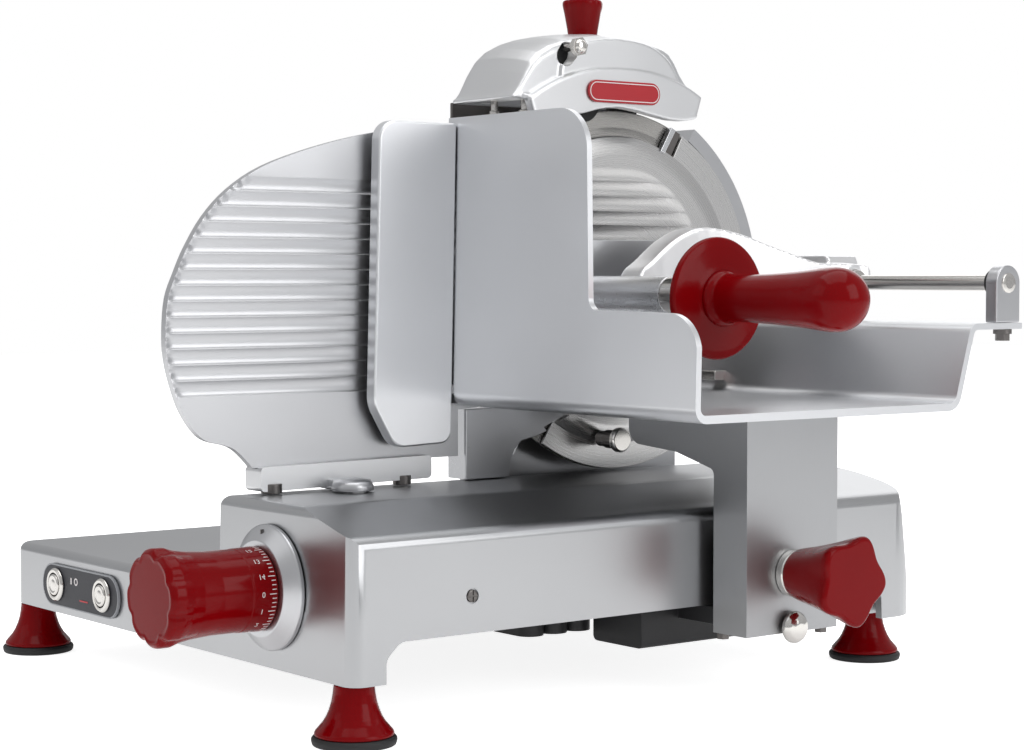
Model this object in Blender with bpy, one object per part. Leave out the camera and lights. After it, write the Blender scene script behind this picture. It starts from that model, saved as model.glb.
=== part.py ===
"""Vertical deli meat slicer: base casting, gauge plate, blade, carriage with pusher, and sharpener.

Machine frame, in millimetres here and metres in the scene: +X is the operator's right, where the carriage
stands, -Y is the operator's side with the controls, and +Z is up. X = 0 is the right side of the base,
Y = 0 its front face and Z = 0 the surface the feet stand on. A root empty then moves the whole machine so
that the middle of its footprint is the origin.
"""

import math

import bmesh
import bpy

MM = 0.001
GAP = 0.3  # between pieces that touch

# Base casting
BASE_LEFT, BASE_BACK = -447.0, 482.0
LEG_BOTTOM, SKIRT_BOTTOM = 37.0, 60.0
PLATFORM_TOP, BOX_LEFT, BOX_TOP = 80.0, -148.0, 136.3
WALL = 5.5
FEET = {"foot_front_right": (-16, 12), "foot_front_left": (-431, 12),
        "foot_rear_right": (-42, 466), "foot_rear_left": (-429, 458)}
FOOT_R, FOOT_TOP_R = 22.5, 11.8
PAD_R, PAD_H = 25.3, 8.0

# Controls
BUTTONS = {"button_on": -371.5, "button_off": -302.0}
BUTTON_Z, BUTTON_R = 56.0, 7.6
DIAL_X, DIAL_Z = -87.7, 85.0

# Blade
BLADE_X, BLADE_Y, BLADE_Z, BLADE_R = -133.2, 310.0, 262.6, 125.0
COVER_R, RING_IN, RING_OUT = 112.0, 126.8, 135.0
MOTOR_Z, PULLEY_BIG, PULLEY_SMALL = 104.0, 45.0, 12.0
SHARP_X, SHARP_Y = -160.5, 302.0

# Carriage
TRAY_LEFT, TRAY_RIGHT, TRAY_FLOOR = -127.5, 117.6, 187.4
ARM_FRONT, ARM_BACK = 274.0, 355.0
TILT_X, TILT_Z = 21.0, 55.0
GUIDE_X, GUIDE_Z, GUIDE_R = -63.0, 58.0, 7.0
ROD_Y, ROD_Z, ROD_R = 428.5, 268.0, 5.2
STAR_Y, STAR_Z = 314.6, 81.5
PIN_Y, PIN_Z = 312.7, 47.0
GRIP_Y, GRIP_Z = 250.0, 258.5


def clear_scene():
    for thing in list(bpy.data.objects):
        bpy.data.objects.remove(thing, do_unlink=True)


clear_scene()
PARTS = bpy.data.collections.new("deli_slicer")
CUTTERS = bpy.data.collections.new("cutters")
bpy.context.scene.collection.children.link(PARTS)
bpy.context.scene.collection.children.link(CUTTERS)
CUTTERS.hide_render = True
PIVOTS = {}


def material(name, colour, metallic, roughness):
    made = bpy.data.materials.new(name)
    made.use_nodes = True
    shader = made.node_tree.nodes["Principled BSDF"]
    shader.inputs["Base Color"].default_value = (*colour, 1.0)
    shader.inputs["Metallic"].default_value = metallic
    shader.inputs["Roughness"].default_value = roughness
    return made


MATERIALS = {
    "cast_aluminium": material("cast_aluminium", (0.72, 0.73, 0.74), 1.0, 0.34),
    "sheet_aluminium": material("sheet_aluminium", (0.76, 0.77, 0.78), 1.0, 0.28),
    "steel": material("steel", (0.62, 0.61, 0.60), 1.0, 0.25),
    "blade_steel": material("blade_steel", (0.55, 0.56, 0.57), 1.0, 0.16),
    "red_gloss": material("red_gloss", (0.45, 0.01, 0.02), 0.0, 0.22),
    "black_rubber": material("black_rubber", (0.02, 0.02, 0.02), 0.0, 0.75),
    "black_plastic": material("black_plastic", (0.03, 0.03, 0.035), 0.0, 0.5),
    "panel_grey": material("panel_grey", (0.09, 0.09, 0.10), 0.0, 0.45),
}


# ---------------------------------------------------------------- shape helpers

def pivot(name, place, parent=None):
    """An empty on a joint's axis that carries the pieces of one moving body."""
    empty = bpy.data.objects.new(name, None)
    empty.empty_display_size = 0.02
    PARTS.objects.link(empty)
    PIVOTS[name] = place
    base = PIVOTS[parent] if parent else (0, 0, 0)
    empty.location = [(a - b) * MM for a, b in zip(place, base)]
    if parent:
        empty.parent = bpy.data.objects[parent]
    return empty


def to_object(name, shapes, body, look=None, cutter=False):
    """One object from (points, faces) shapes in machine millimetres."""
    origin = PIVOTS[body]
    work = bmesh.new()
    for points, faces in shapes:
        corners = [work.verts.new([(a - b) * MM for a, b in zip(p, origin)]) for p in points]
        for face in faces:
            work.faces.new([corners[i] for i in face])
    bmesh.ops.recalc_face_normals(work, faces=work.faces)
    mesh = bpy.data.meshes.new(name)
    work.to_mesh(mesh)
    work.free()
    made = bpy.data.objects.new(name, mesh)
    (CUTTERS if cutter else PARTS).objects.link(made)
    made.parent = bpy.data.objects[body]
    if cutter:
        made.hide_render = True
        made.display_type = "WIRE"
    else:
        mesh.materials.append(MATERIALS[look])
    return made


def boolean(target, operation, body, *shapes):
    """Adds, cuts or keeps the shared part with one helper object that holds the given shapes."""
    helper = to_object(f"cut_{target.name}_{len(target.modifiers)}", shapes, body, cutter=True)
    step = target.modifiers.new(operation.lower(), "BOOLEAN")
    step.operation = operation
    step.solver = "EXACT"
    step.use_self = len(shapes) > 1
    step.object = helper
    return helper


def place(axis, along, u, v):
    """A point from its place along an axis and its two other coordinates, in X, Y, Z order."""
    return {"X": (along, u, v), "Y": (u, along, v), "Z": (u, v, along)}[axis]


def prism(outline, axis, low, high):
    count = len(outline)
    points = [place(axis, end, u, v) for end in (low, high) for u, v in outline]
    sides = [(i, (i + 1) % count, count + (i + 1) % count, count + i) for i in range(count)]
    return points, [tuple(range(count)), tuple(reversed(range(count, 2 * count)))] + sides


def block(x, y, z):
    return prism([(x[0], y[0]), (x[1], y[0]), (x[1], y[1]), (x[0], y[1])], "Z", *z)


def lathe(profile, axis, centre, steps=32, lobes=0):
    """Turns (along, radius, lobe depth) rings round an axis. centre holds the two other coordinates."""
    points, faces, rings = [], [], []
    for ring in profile:
        along, radius = ring[0], ring[1]
        depth = ring[2] if len(ring) > 2 else 0.0
        start = len(points)
        if radius < 1e-6:
            points.append(place(axis, along, *centre))
            rings.append([start] * steps)
            continue
        for i in range(steps):
            turn = 2 * math.pi * i / steps
            r = radius * (1 + depth * math.cos(lobes * turn))
            points.append(place(axis, along, centre[0] + r * math.cos(turn), centre[1] + r * math.sin(turn)))
        rings.append(list(range(start, start + steps)))
    closed = profile[0][1] > 1e-6 and profile[-1][1] > 1e-6
    pairs = list(zip(rings, rings[1:])) + ([(rings[-1], rings[0])] if closed else [])
    for one, two in pairs:
        for i in range(steps):
            j = (i + 1) % steps
            corners = []
            for corner in (one[i], one[j], two[j], two[i]):
                if corner not in corners:
                    corners.append(corner)
            if len(corners) > 2:
                faces.append(tuple(corners))
    return points, faces


def loft(rings):
    """Joins rings of points, each with the same count, and closes both ends."""
    count = len(rings[0])
    points = [corner for ring in rings for corner in ring]
    faces = [tuple(range(count)), tuple(reversed(range(len(points) - count, len(points))))]
    for k in range(len(rings) - 1):
        for i in range(count):
            j = (i + 1) % count
            faces.append((k * count + i, k * count + j, (k + 1) * count + j, (k + 1) * count + i))
    return points, faces


def rod(axis, low, high, centre, radius, steps=20):
    return lathe([(low, 0), (low, radius), (high, radius), (high, 0)], axis, centre, steps)


def tube(axis, low, high, centre, inner, outer, steps=24):
    return lathe([(low, inner), (low, outer), (high, outer), (high, inner)], axis, centre, steps)


def fillet(corners, radii, steps=5):
    """A polygon with each corner rounded by its radius, 0 for a sharp one."""
    done = []
    count = len(corners)
    for i, radius in enumerate(radii):
        here, before, after = corners[i], corners[i - 1], corners[(i + 1) % count]
        if not radius:
            done.append(here)
            continue
        a = math.atan2(before[1] - here[1], before[0] - here[0])
        b = math.atan2(after[1] - here[1], after[0] - here[0])
        spread = (b - a + math.pi) % (2 * math.pi) - math.pi
        reach = radius / abs(math.tan(spread / 2))
        middle = a + spread / 2
        hub = radius / abs(math.sin(spread / 2))
        centre = (here[0] + hub * math.cos(middle), here[1] + hub * math.sin(middle))
        one = (here[0] + reach * math.cos(a), here[1] + reach * math.sin(a))
        two = (here[0] + reach * math.cos(b), here[1] + reach * math.sin(b))
        start = math.atan2(one[1] - centre[1], one[0] - centre[0])
        end = math.atan2(two[1] - centre[1], two[0] - centre[0])
        sweep = (end - start + math.pi) % (2 * math.pi) - math.pi
        for k in range(steps + 1):
            turn = start + sweep * k / steps
            done.append((centre[0] + radius * math.cos(turn), centre[1] + radius * math.sin(turn)))
    return done


def arc(centre, radius, first, last, steps):
    """Points on a circle from one angle to another, in degrees."""
    turns = [math.radians(first + (last - first) * k / steps) for k in range(steps + 1)]
    return [(centre[0] + radius * math.cos(t), centre[1] + radius * math.sin(t)) for t in turns]


def capsule(centre, length, height, steps=8):
    r = height / 2
    half = length / 2 - r
    return (arc((centre[0] + half, centre[1]), r, -90, 90, steps)
            + arc((centre[0] - half, centre[1]), r, 90, 270, steps))


def hull_of_circles(low, low_r, high, high_r, steps=14):
    """The outline of a belt round two circles, the second straight above the first."""
    lean = math.degrees(math.asin((high_r - low_r) / (high[1] - low[1])))
    return arc(high, high_r, -lean, 180 + lean, steps) + arc(low, low_r, 180 + lean, 360 - lean, steps // 2)


# ---------------------------------------------------------------- bodies

CENTRE = (BLADE_Y, BLADE_Z)


def make_pivots():
    pivot("slicer_root", (0, 0, 0))
    pivot("gauge_pivot", (-136, 90, 150), "slicer_root")
    pivot("dial_pivot", (DIAL_X, 0, DIAL_Z), "slicer_root")
    pivot("blade_pivot", (BLADE_X, BLADE_Y, BLADE_Z), "slicer_root")
    pivot("motor_pivot", (-181, BLADE_Y, MOTOR_Z), "slicer_root")
    pivot("cover_knob_pivot", (-128, 291, 160), "slicer_root")
    pivot("button_on_pivot", (BUTTONS["button_on"], 0, BUTTON_Z), "slicer_root")
    pivot("button_off_pivot", (BUTTONS["button_off"], 0, BUTTON_Z), "slicer_root")
    pivot("slide_pivot", (GUIDE_X, 314, GUIDE_Z), "slicer_root")
    pivot("tilt_pivot", (TILT_X, 314, TILT_Z), "slide_pivot")
    pivot("star_pivot", (38, STAR_Y, STAR_Z), "tilt_pivot")
    pivot("release_pivot", (38, PIN_Y, PIN_Z), "tilt_pivot")
    pivot("rod_pivot", (-60, ROD_Y, ROD_Z), "tilt_pivot")
    pivot("pusher_pivot", (-60, ROD_Y, ROD_Z), "rod_pivot")
    pivot("sharpener_pivot", (SHARP_X, SHARP_Y, 406), "slicer_root")
    pivot("sharp_knob_pivot", (SHARP_X, SHARP_Y, 430), "sharpener_pivot")
    pivot("sharp_front_pivot", (-104, 248, 425.5), "sharpener_pivot")
    pivot("sharp_back_pivot", (-172, 240, 406), "sharpener_pivot")
    pivot("wheel_front_pivot", (-128, 275, 392), "sharp_front_pivot")
    pivot("wheel_back_pivot", (-141, 322, 395), "sharp_back_pivot")


# ---------------------------------------------------------------- base

def base_casting():
    """A low platform on the left and a tall box on the right, hollow below, with a leg at each corner."""
    plan = fillet([(0, 0), (0, BASE_BACK), (BASE_LEFT, BASE_BACK), (BASE_LEFT, 0)], [8, 30, 15, 15], 5)
    made = to_object("base_casting", [prism(plan, "Z", 20, 160)], "slicer_root", "cast_aluminium")
    front = fillet([(40, LEG_BOTTOM), (0.01, LEG_BOTTOM), (0.01, 121), (-14, 124.5), (-57, BOX_TOP),
                    (BOX_LEFT, BOX_TOP), (BOX_LEFT - 2.5, PLATFORM_TOP), (-460, PLATFORM_TOP),
                    (-460, LEG_BOTTOM)][1:], [0, 7, 12, 25, 7, 8, 0, 0], 4)
    boolean(made, "INTERSECT", "slicer_root", prism(front, "Y", -20, 520))
    side = fillet([(-0.01, 20), (BASE_BACK + 2, 20), (BASE_BACK + 2, 137), (0.4, 137)], [0, 0, 0, 6], 4)
    boolean(made, "INTERSECT", "slicer_root", prism(side, "X", -500, 20))
    rear = []
    for z, inset in ((15, -1.0), (60, 4.0), (98, 8.5), (112, 10.5), (121, 12.8), (127, 15.5), (131, 18.6),
                     (134, 22.6), (136.4, 30.0), (170, 31.0)):
        back = BASE_BACK - inset
        corner = fillet([(6, -10), (6, back), (BASE_LEFT - 6, back), (BASE_LEFT - 6, -10)], [0, 34, 20, 0], 5)
        rear.append([(x, y, z) for x, y in corner])
    boolean(made, "INTERSECT", "slicer_root", loft(rear))
    hollow = [(-WALL, 10), (-WALL, 112), (-16, 118.5), (-57, BOX_TOP - 6), (BOX_LEFT + WALL, BOX_TOP - 6),
              (BOX_LEFT + WALL, PLATFORM_TOP - 5.5), (BASE_LEFT + WALL, PLATFORM_TOP - 5.5),
              (BASE_LEFT + WALL, 10)]
    helper = boolean(made, "DIFFERENCE", "slicer_root", prism(hollow, "Y", 6, BASE_BACK - 18))
    inner = fillet([(-WALL + 1, 5), (-WALL + 1, BASE_BACK - 5), (BASE_LEFT + WALL - 1, BASE_BACK - 5),
                    (BASE_LEFT + WALL - 1, 5)], [6, 26, 12, 12], 4)
    boolean(helper, "INTERSECT", "slicer_root", prism(inner, "Z", 5, 150))
    boolean(made, "UNION", "slicer_root",
            block((-36, -3), (3, 24), (LEG_BOTTOM, 77)), block((-55.6, -22), (446, 474), (LEG_BOTTOM, 77)),
            block((-442, -408), (5, 36), (LEG_BOTTOM, 79)), block((-442, -408), (440, 477), (LEG_BOTTOM, 79)))
    arch = fillet([(24, 0), (24, 48), (44, 60.5), (430, SKIRT_BOTTOM), (438, 52), (440, 0)],
                  [0, 6, 10, 6, 6, 0], 4)
    boolean(made, "DIFFERENCE", "slicer_root", prism(arch, "X", -10, 20))
    holes = [rod("Y", -10, 14, (x, BUTTON_Z), BUTTON_R + 0.8, 20) for x in BUTTONS.values()]
    holes += [rod("Y", -10, 14, (DIAL_X, DIAL_Z), 7.0, 20)]
    holes += [rod("X", -160, -138, (BLADE_Y, MOTOR_Z), 6.0, 16)]
    holes += [block((-132, -102), (84, 100), (120, 150))]
    boolean(made, "DIFFERENCE", "slicer_root", *holes)


def base_underside():
    cut = 72
    plan = [(-130, 7), (-130, 463), (-440 + cut, 463), (-440, 463 - cut), (-440, 7 + cut), (-440 + cut, 7)]
    to_object("bottom_cover", [prism(plan, "Z", 38, 41)], "slicer_root", "black_plastic")
    wave = [(-129.6, 178)]
    for k in range(3):
        wave += arc((-104, 191 + 26 * k), 12.5, -90, 90, 6)
    wave += [(-129.6, 256)]
    to_object("sump_cover", [prism(wave, "Z", 33, 64)], "slicer_root", "black_plastic")
    to_object("guide_rod", [rod("Y", 6.3, BASE_BACK - 18.3, (GUIDE_X, GUIDE_Z), GUIDE_R, 24)],
              "slicer_root", "steel")
    gland = lathe([(482.3, 0), (482.3, 10), (486, 10), (488, 7.5), (497, 6.5), (497, 4), (486, 4), (486, 0)],
                  "Y", (-300, 58), 20)
    to_object("cable_gland", [gland], "slicer_root", "black_plastic")


def feet():
    for name, centre in FEET.items():
        cone = [(PAD_H + GAP, 0), (PAD_H + GAP, FOOT_R), (PAD_H + 2.5, FOOT_R - 0.4), (14.5, 18.2),
                (19, 15.0), (26, 12.8), (LEG_BOTTOM - GAP, FOOT_TOP_R), (LEG_BOTTOM - GAP, 0)]
        to_object(name, [lathe(cone, "Z", centre, 28)], "slicer_root", "red_gloss")
        pad = [(0, 0), (0, PAD_R - 1.5), (1.5, PAD_R), (PAD_H - 2, PAD_R), (PAD_H, PAD_R - 2), (PAD_H, 0)]
        to_object(name.replace("foot", "pad"), [lathe(pad, "Z", centre, 28)], "slicer_root", "black_rubber")


# ---------------------------------------------------------------- controls

def control_panel():
    made = to_object("control_panel", [prism(capsule((-336.5, BUTTON_Z - 0.4), 113, 29), "Y", -2.5, -GAP)],
                     "slicer_root", "panel_grey")
    boolean(made, "DIFFERENCE", "slicer_root",
            *[rod("Y", -6, 3, (x, BUTTON_Z), BUTTON_R + 0.8, 20) for x in BUTTONS.values()])
    for name, x in BUTTONS.items():
        ring = [(-2.8, 8.5), (-2.8, 11.8), (-4.2, 11.4), (-4.8, 10.2), (-4.4, 8.5)]
        to_object(name.replace("button", "bezel"), [lathe(ring, "Y", (x, BUTTON_Z), 28)],
                  "slicer_root", "steel")
        push = [(6, 0), (6, 5), (0, 5), (0, BUTTON_R), (-4.6, BUTTON_R), (-5.6, BUTTON_R - 1), (-6, 0)]
        to_object(name, [lathe(push, "Y", (x, BUTTON_Z), 24)], name + "_pivot", "steel")


def thickness_dial():
    collar = [(-GAP, 6.8), (-GAP, 38.3), (-2.5, 38.3), (-4, 37.5), (-9.8, 30.0), (-9.8, 6.8)]
    to_object("dial_collar", [lathe(collar, "Y", (DIAL_X, DIAL_Z), 40)], "slicer_root", "cast_aluminium")
    knob = [(-10.2, 0), (-10.2, 25.1), (-11.2, 25.6), (-26, 25.0), (-46, 24.9, 0.01), (-61, 26.2, 0.02),
            (-70, 27.6, 0.03), (-73, 28.3, 0.035), (-80.5, 28.3, 0.035), (-82.6, 27.2, 0.03),
            (-83.2, 25.4, 0.02), (-82.4, 0)]
    to_object("thickness_dial", [lathe(knob, "Y", (DIAL_X, DIAL_Z), 48, 8)], "dial_pivot", "red_gloss")
    to_object("dial_shaft", [rod("Y", -9.9, 60, (DIAL_X, DIAL_Z), 6.2, 20)], "dial_pivot", "steel")


# ---------------------------------------------------------------- gauge plate

def left_edge(outline, z):
    """Where a level line at z meets the front side of the gauge plate's outline."""
    found = []
    for (y1, z1), (y2, z2) in zip(outline, outline[1:]):
        if (z1 - z) * (z2 - z) <= 0 and z1 != z2:
            found.append(y1 + (y2 - y1) * (z - z1) / (z2 - z1))
    return min(found)


def gauge_plate():
    outline = [(13, 153), (5, 161), (-4, 167), (-20, 171), (-29, 177), (-38, 189), (-44, 203), (-49, 221),
               (-50, 239), (-48, 259), (-42, 274), (-34, 290), (-21, 309), (-3, 326), (23, 341), (62, 354),
               (103, 364), (150, 371), (200, 376), (250, 378)]
    start = math.degrees(math.atan2(378 - BLADE_Z, -math.sqrt(129 ** 2 - (378 - BLADE_Z) ** 2)))
    outline += arc(CENTRE, 129, start, 216.4, 14) + [(173, 184), (173, 153)]
    made = to_object("gauge_plate", [prism(outline, "X", -139, -134.2)], "gauge_pivot", "cast_aluminium")
    ribs = []
    for k in range(15):
        z = 201 + 9.6 * k
        left = left_edge(outline, z) + 6
        reach = 129 ** 2 - (z - BLADE_Z) ** 2
        right = BLADE_Y - math.sqrt(reach) - 8
        points = [(-134.8, left, z - 3.4), (-134.8, left, z + 3.4), (-134.8, right, z + 3.4),
                  (-134.8, right, z - 3.4), (-132.9, left + 7, z), (-132.9, right - 5, z)]
        ribs.append((points, [(0, 3, 2, 1), (0, 1, 4), (3, 5, 2), (0, 4, 5, 3), (1, 2, 5, 4)]))
    boolean(made, "UNION", "gauge_pivot", *ribs)


def gauge_bracket():
    bar = fillet([(17, 141.5), (147, 141.5), (147, 156), (17, 158)], [5, 4, 4, 5], 3)
    made = to_object("gauge_bracket", [prism(bar, "X", -146, -127)], "gauge_pivot", "cast_aluminium")
    arm = fillet([(-135, 84), (-103, 80), (-103, 104), (-135, 100)], [0, 10, 10, 0], 4)
    boolean(made, "UNION", "gauge_pivot", rod("Z", 136.9, 145, (-130, 25), 7, 16),
            rod("Z", 136.9, 145, (-130, 124), 7, 16), prism(arm, "Z", 137.1, 146),
            rod("Z", 112, 140, (-110.5, 92), 6, 16))
    boolean(made, "DIFFERENCE", "gauge_pivot", block((-139.3, -133.9), (10, 160), (152.7, 165)))


# ---------------------------------------------------------------- blade and its housing

def blade():
    profile = [(-136, 9), (-136, 112), (-134.4, BLADE_R - 0.4), (BLADE_X - 0.2, BLADE_R),
               (BLADE_X, BLADE_R - 0.8), (BLADE_X - 0.5, 112), (BLADE_X - 0.5, 9)]
    to_object("blade", [lathe(profile, "X", CENTRE, 56)], "blade_pivot", "blade_steel")
    shaft = [(-190, 0), (-190, 12), (-140.6, 12), (-140.6, 26), (-136.3, 26), (-136.3, 8.6), (-133.9, 8.6),
             (-133.9, 0)]
    to_object("blade_shaft", [lathe(shaft, "X", CENTRE, 32)], "blade_pivot", "steel")
    wheel = [(-188, 12.3), (-188, PULLEY_BIG + 2), (-186.6, PULLEY_BIG), (-175.4, PULLEY_BIG),
             (-174, PULLEY_BIG + 2), (-174, 12.3)]
    to_object("blade_pulley", [lathe(wheel, "X", CENTRE, 40)], "blade_pivot", "cast_aluminium")


def drive():
    to_object("motor", [lathe([(-142.2, 7), (-142.2, 21), (-138, 24.4), (-58, 24.4), (-58, 7)],
                              "X", (BLADE_Y, MOTOR_Z), 28)], "slicer_root", "black_plastic")
    small = [(-188, 0), (-188, PULLEY_SMALL + 1.2), (-186.6, PULLEY_SMALL), (-175.4, PULLEY_SMALL),
             (-174, PULLEY_SMALL + 1.2), (-174, 4), (-62, 4), (-62, 0)]
    to_object("motor_pulley", [lathe(small, "X", (BLADE_Y, MOTOR_Z), 24)], "motor_pivot", "steel")
    low, high = (BLADE_Y, MOTOR_Z), CENTRE
    outer = hull_of_circles(low, PULLEY_SMALL + 2.6, high, PULLEY_BIG + 2.6)
    inner = hull_of_circles(low, PULLEY_SMALL + 0.5, high, PULLEY_BIG + 0.5)
    points, faces = [], []
    count = len(outer)
    for x in (-186, -176):
        points += [(x, y, z) for y, z in outer] + [(x, y, z) for y, z in inner]
    for i in range(count):
        j = (i + 1) % count
        faces += [(i, j, 2 * count + j, 2 * count + i), (count + i, 3 * count + i, 3 * count + j, count + j),
                  (i, count + i, count + j, j), (2 * count + i, 2 * count + j, 3 * count + j, 3 * count + i)]
    to_object("drive_belt", [(points, faces)], "slicer_root", "black_rubber")


def blade_housing():
    """The pedestal, the bearing boss, the arm that holds the sharpener and the ring round the blade."""
    plate = fillet([(222, 128), (375, 128), (375, 158), (424, 190)], [0, 0, 0, 0])
    plate += arc(CENTRE, RING_OUT, -32, 57, 16)
    plate += fillet([(372, 368), (330, 330), (318, 380), (284, 380), (272, 300), (262, 225), (222, 166)],
                    [0, 12, 0, 0, 0, 14, 4], 3)
    made = to_object("blade_housing", [prism(plate, "X", -168, -153)], "slicer_root", "cast_aluminium")
    ring = arc(CENTRE, RING_OUT, -32, 57, 18) + arc(CENTRE, RING_IN, 57, -32, 18)
    boolean(made, "UNION", "slicer_root", prism(ring, "X", -160, -134.5))
    nose = fillet([(180, 137), (369, 137), (369, 166), (330, 175), (240, 183), (180, 183)],
                  [0, 0, 5, 0, 0, 4], 3)
    helper = boolean(made, "UNION", "slicer_root", prism(nose, "X", -154, -134.5))
    boolean(helper, "DIFFERENCE", "slicer_root", rod("X", -141, -120, CENTRE, RING_IN, 72))
    foot = [(-168, PLATFORM_TOP + GAP), (-161, PLATFORM_TOP + GAP), (-152.6, 92.5), (-152.6, 137.6),
            (-168, 137.6)]
    boolean(made, "UNION", "slicer_root", prism(foot, "Y", 222, 372),
            block((-168, -152.6), (222, 372), (136, 150)), rod("X", -160, -141, CENTRE, 34, 32))
    boolean(made, "DIFFERENCE", "slicer_root", rod("X", -190, -120, CENTRE, 12.6, 32),
            rod("X", -190, -120, (BLADE_Y, MOTOR_Z), 6, 16))


def pulley_cover():
    low, high = (BLADE_Y, MOTOR_Z + 4), CENTRE
    outer = hull_of_circles(low, 24, high, 56)
    inner = hull_of_circles(low, 21, high, 53)
    made = to_object("pulley_cover", [prism(outer, "X", -203, -168.3)], "slicer_root", "cast_aluminium")
    boolean(made, "DIFFERENCE", "slicer_root", prism(inner, "X", -200, -160))


def blade_cover():
    disc = [(-132.4, 0), (-132.4, COVER_R - 0.6), (-130.4, COVER_R), (-128.6, COVER_R - 3), (-128.6, 0)]
    made = to_object("blade_cover", [lathe(disc, "X", CENTRE, 64)], "slicer_root", "cast_aluminium")
    flank = arc(CENTRE, 126.8, -70, 61.5, 20) + arc(CENTRE, 104, 61.5, -70, 20)
    boolean(made, "UNION", "slicer_root", prism(flank, "X", -132.5, -130.9))
    knob = [(-128.3, 0), (-128.3, 4), (-115, 4), (-115, 8), (-113.5, 8.6), (-104.5, 8.6), (-103.5, 7.8),
            (-103.5, 0)]
    to_object("cover_knob", [lathe(knob, "X", (291, 160), 20)], "cover_knob_pivot", "steel")


# ---------------------------------------------------------------- carriage

def slide_block():
    body = fillet([(-88, 28), (-38, 28), (-38, 70), (-88, 70)], [4, 4, 4, 4], 3)
    made = to_object("slide_block", [prism(body, "Y", 252, 376)], "slide_pivot", "black_plastic")
    upright = fillet([(-42, 46), (30.5, 45.5), (30.5, 104), (12, 104), (12, 57.5), (-42, 57.5)],
                     [0, 9.5, 3, 3, 2, 0], 4)
    boolean(made, "UNION", "slide_pivot", prism(upright, "Y", 284, 345))
    boolean(made, "DIFFERENCE", "slide_pivot", rod("Y", 240, 390, (GUIDE_X, GUIDE_Z), GUIDE_R + 0.35, 24),
            rod("Y", 270, 360, (TILT_X, TILT_Z), 4.4, 20))


def carriage_arm():
    """An upside-down L: a channel column on the right of the base and a short arm under the tray."""
    outline = fillet([(7, 43), (38, 43), (38, 187.1), (-77, 187.1), (-77, 160), (-30, 156), (7, 150)],
                     [0, 0, 4, 3, 10, 0, 5], 4)
    made = to_object("carriage_arm", [prism(outline, "Y", ARM_FRONT, ARM_BACK)], "tilt_pivot",
                     "sheet_aluminium")
    inside = [(33, 30), (33, 182.5), (-72, 182.5), (-72, 150), (-90, 145), (-90, 30)]
    boolean(made, "DIFFERENCE", "tilt_pivot", prism(inside, "Y", ARM_FRONT + 5, ARM_BACK - 5),
            rod("Y", ARM_FRONT + 1.6, ARM_BACK - 1.6, (TILT_X, TILT_Z), 4.3, 20),
            rod("X", 25, 50, (STAR_Y, STAR_Z), 5.6, 20),
            rod("X", 25, 50, (PIN_Y, PIN_Z), 4.5, 20), block((25, 50), (PIN_Y - 4.5, PIN_Y + 4.5), (30, 48)))
    to_object("tilt_pin", [rod("Y", ARM_FRONT + 1.9, ARM_BACK - 1.9, (TILT_X, TILT_Z), 4.0, 20)],
              "tilt_pivot", "steel")


def carriage_tray():
    profile = fillet([(161.6, 380), (157.3, TRAY_FLOOR), (381.5, TRAY_FLOOR), (396.5, 238.3), (442, 238.3),
                      (442, 242.3), (393.2, 242.3), (378.2, 192.3), (161.4, 192.3), (165.6, 380)],
                     [0, 8, 10, 4, 0, 1.5, 7, 6, 4, 0], 4)
    made = to_object("carriage_tray", [prism(profile, "X", TRAY_LEFT, TRAY_RIGHT)], "tilt_pivot",
                     "sheet_aluminium")
    edge = fillet([(-128, 375.8), (14.5, 375.8), (20, 251.8), (118.2, 250.6), (118.2, 180)],
                  [0, 28, 8, 25, 0], 7)
    boolean(made, "DIFFERENCE", "tilt_pivot",
            prism(edge + [(160, 180), (160, 400), (-128, 400)], "Y", 140, 176))


def finger_guard():
    outline = fillet([(101, 372), (161.1, 372), (157.1, 196), (156.6, 163.5), (110, 162), (94, 180)],
                     [9, 0, 0, 8, 9, 8], 4)
    to_object("finger_guard", [prism(outline, "X", TRAY_LEFT, TRAY_LEFT + 6)], "tilt_pivot",
              "sheet_aluminium")


def guard_fix():
    """The tray starts past the guard, which closes its left end."""
    tray = bpy.data.objects["carriage_tray"]
    boolean(tray, "DIFFERENCE", "tilt_pivot",
            block((TRAY_LEFT - 2, TRAY_LEFT + 6.3), (140, 161.5), (150, 400)))


def pusher_rod():
    to_object("pusher_rod", [rod("X", -114.5, TRAY_RIGHT + 0.6, (ROD_Y, ROD_Z), ROD_R, 24)], "tilt_pivot",
              "steel")
    for name, low, high in (("rod_bracket_left", -114, -106.5), ("rod_bracket_right", 108.2, 117.4)):
        outline = [(ROD_Y - 11.5, 242.6), (ROD_Y + 11.5, 242.6)] + arc((ROD_Y, ROD_Z), 11.5, 0, 180, 10)
        made = to_object(name, [prism(outline, "X", low, high)], "tilt_pivot", "cast_aluminium")
        boolean(made, "DIFFERENCE", "tilt_pivot", rod("X", low - 5, high + 5, (ROD_Y, ROD_Z), ROD_R + GAP, 24))
    to_object("rod_bumper", [tube("X", 103.6, 107.9, (ROD_Y, ROD_Z), ROD_R + GAP, 8.6, 24)], "tilt_pivot",
              "black_rubber")


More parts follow.
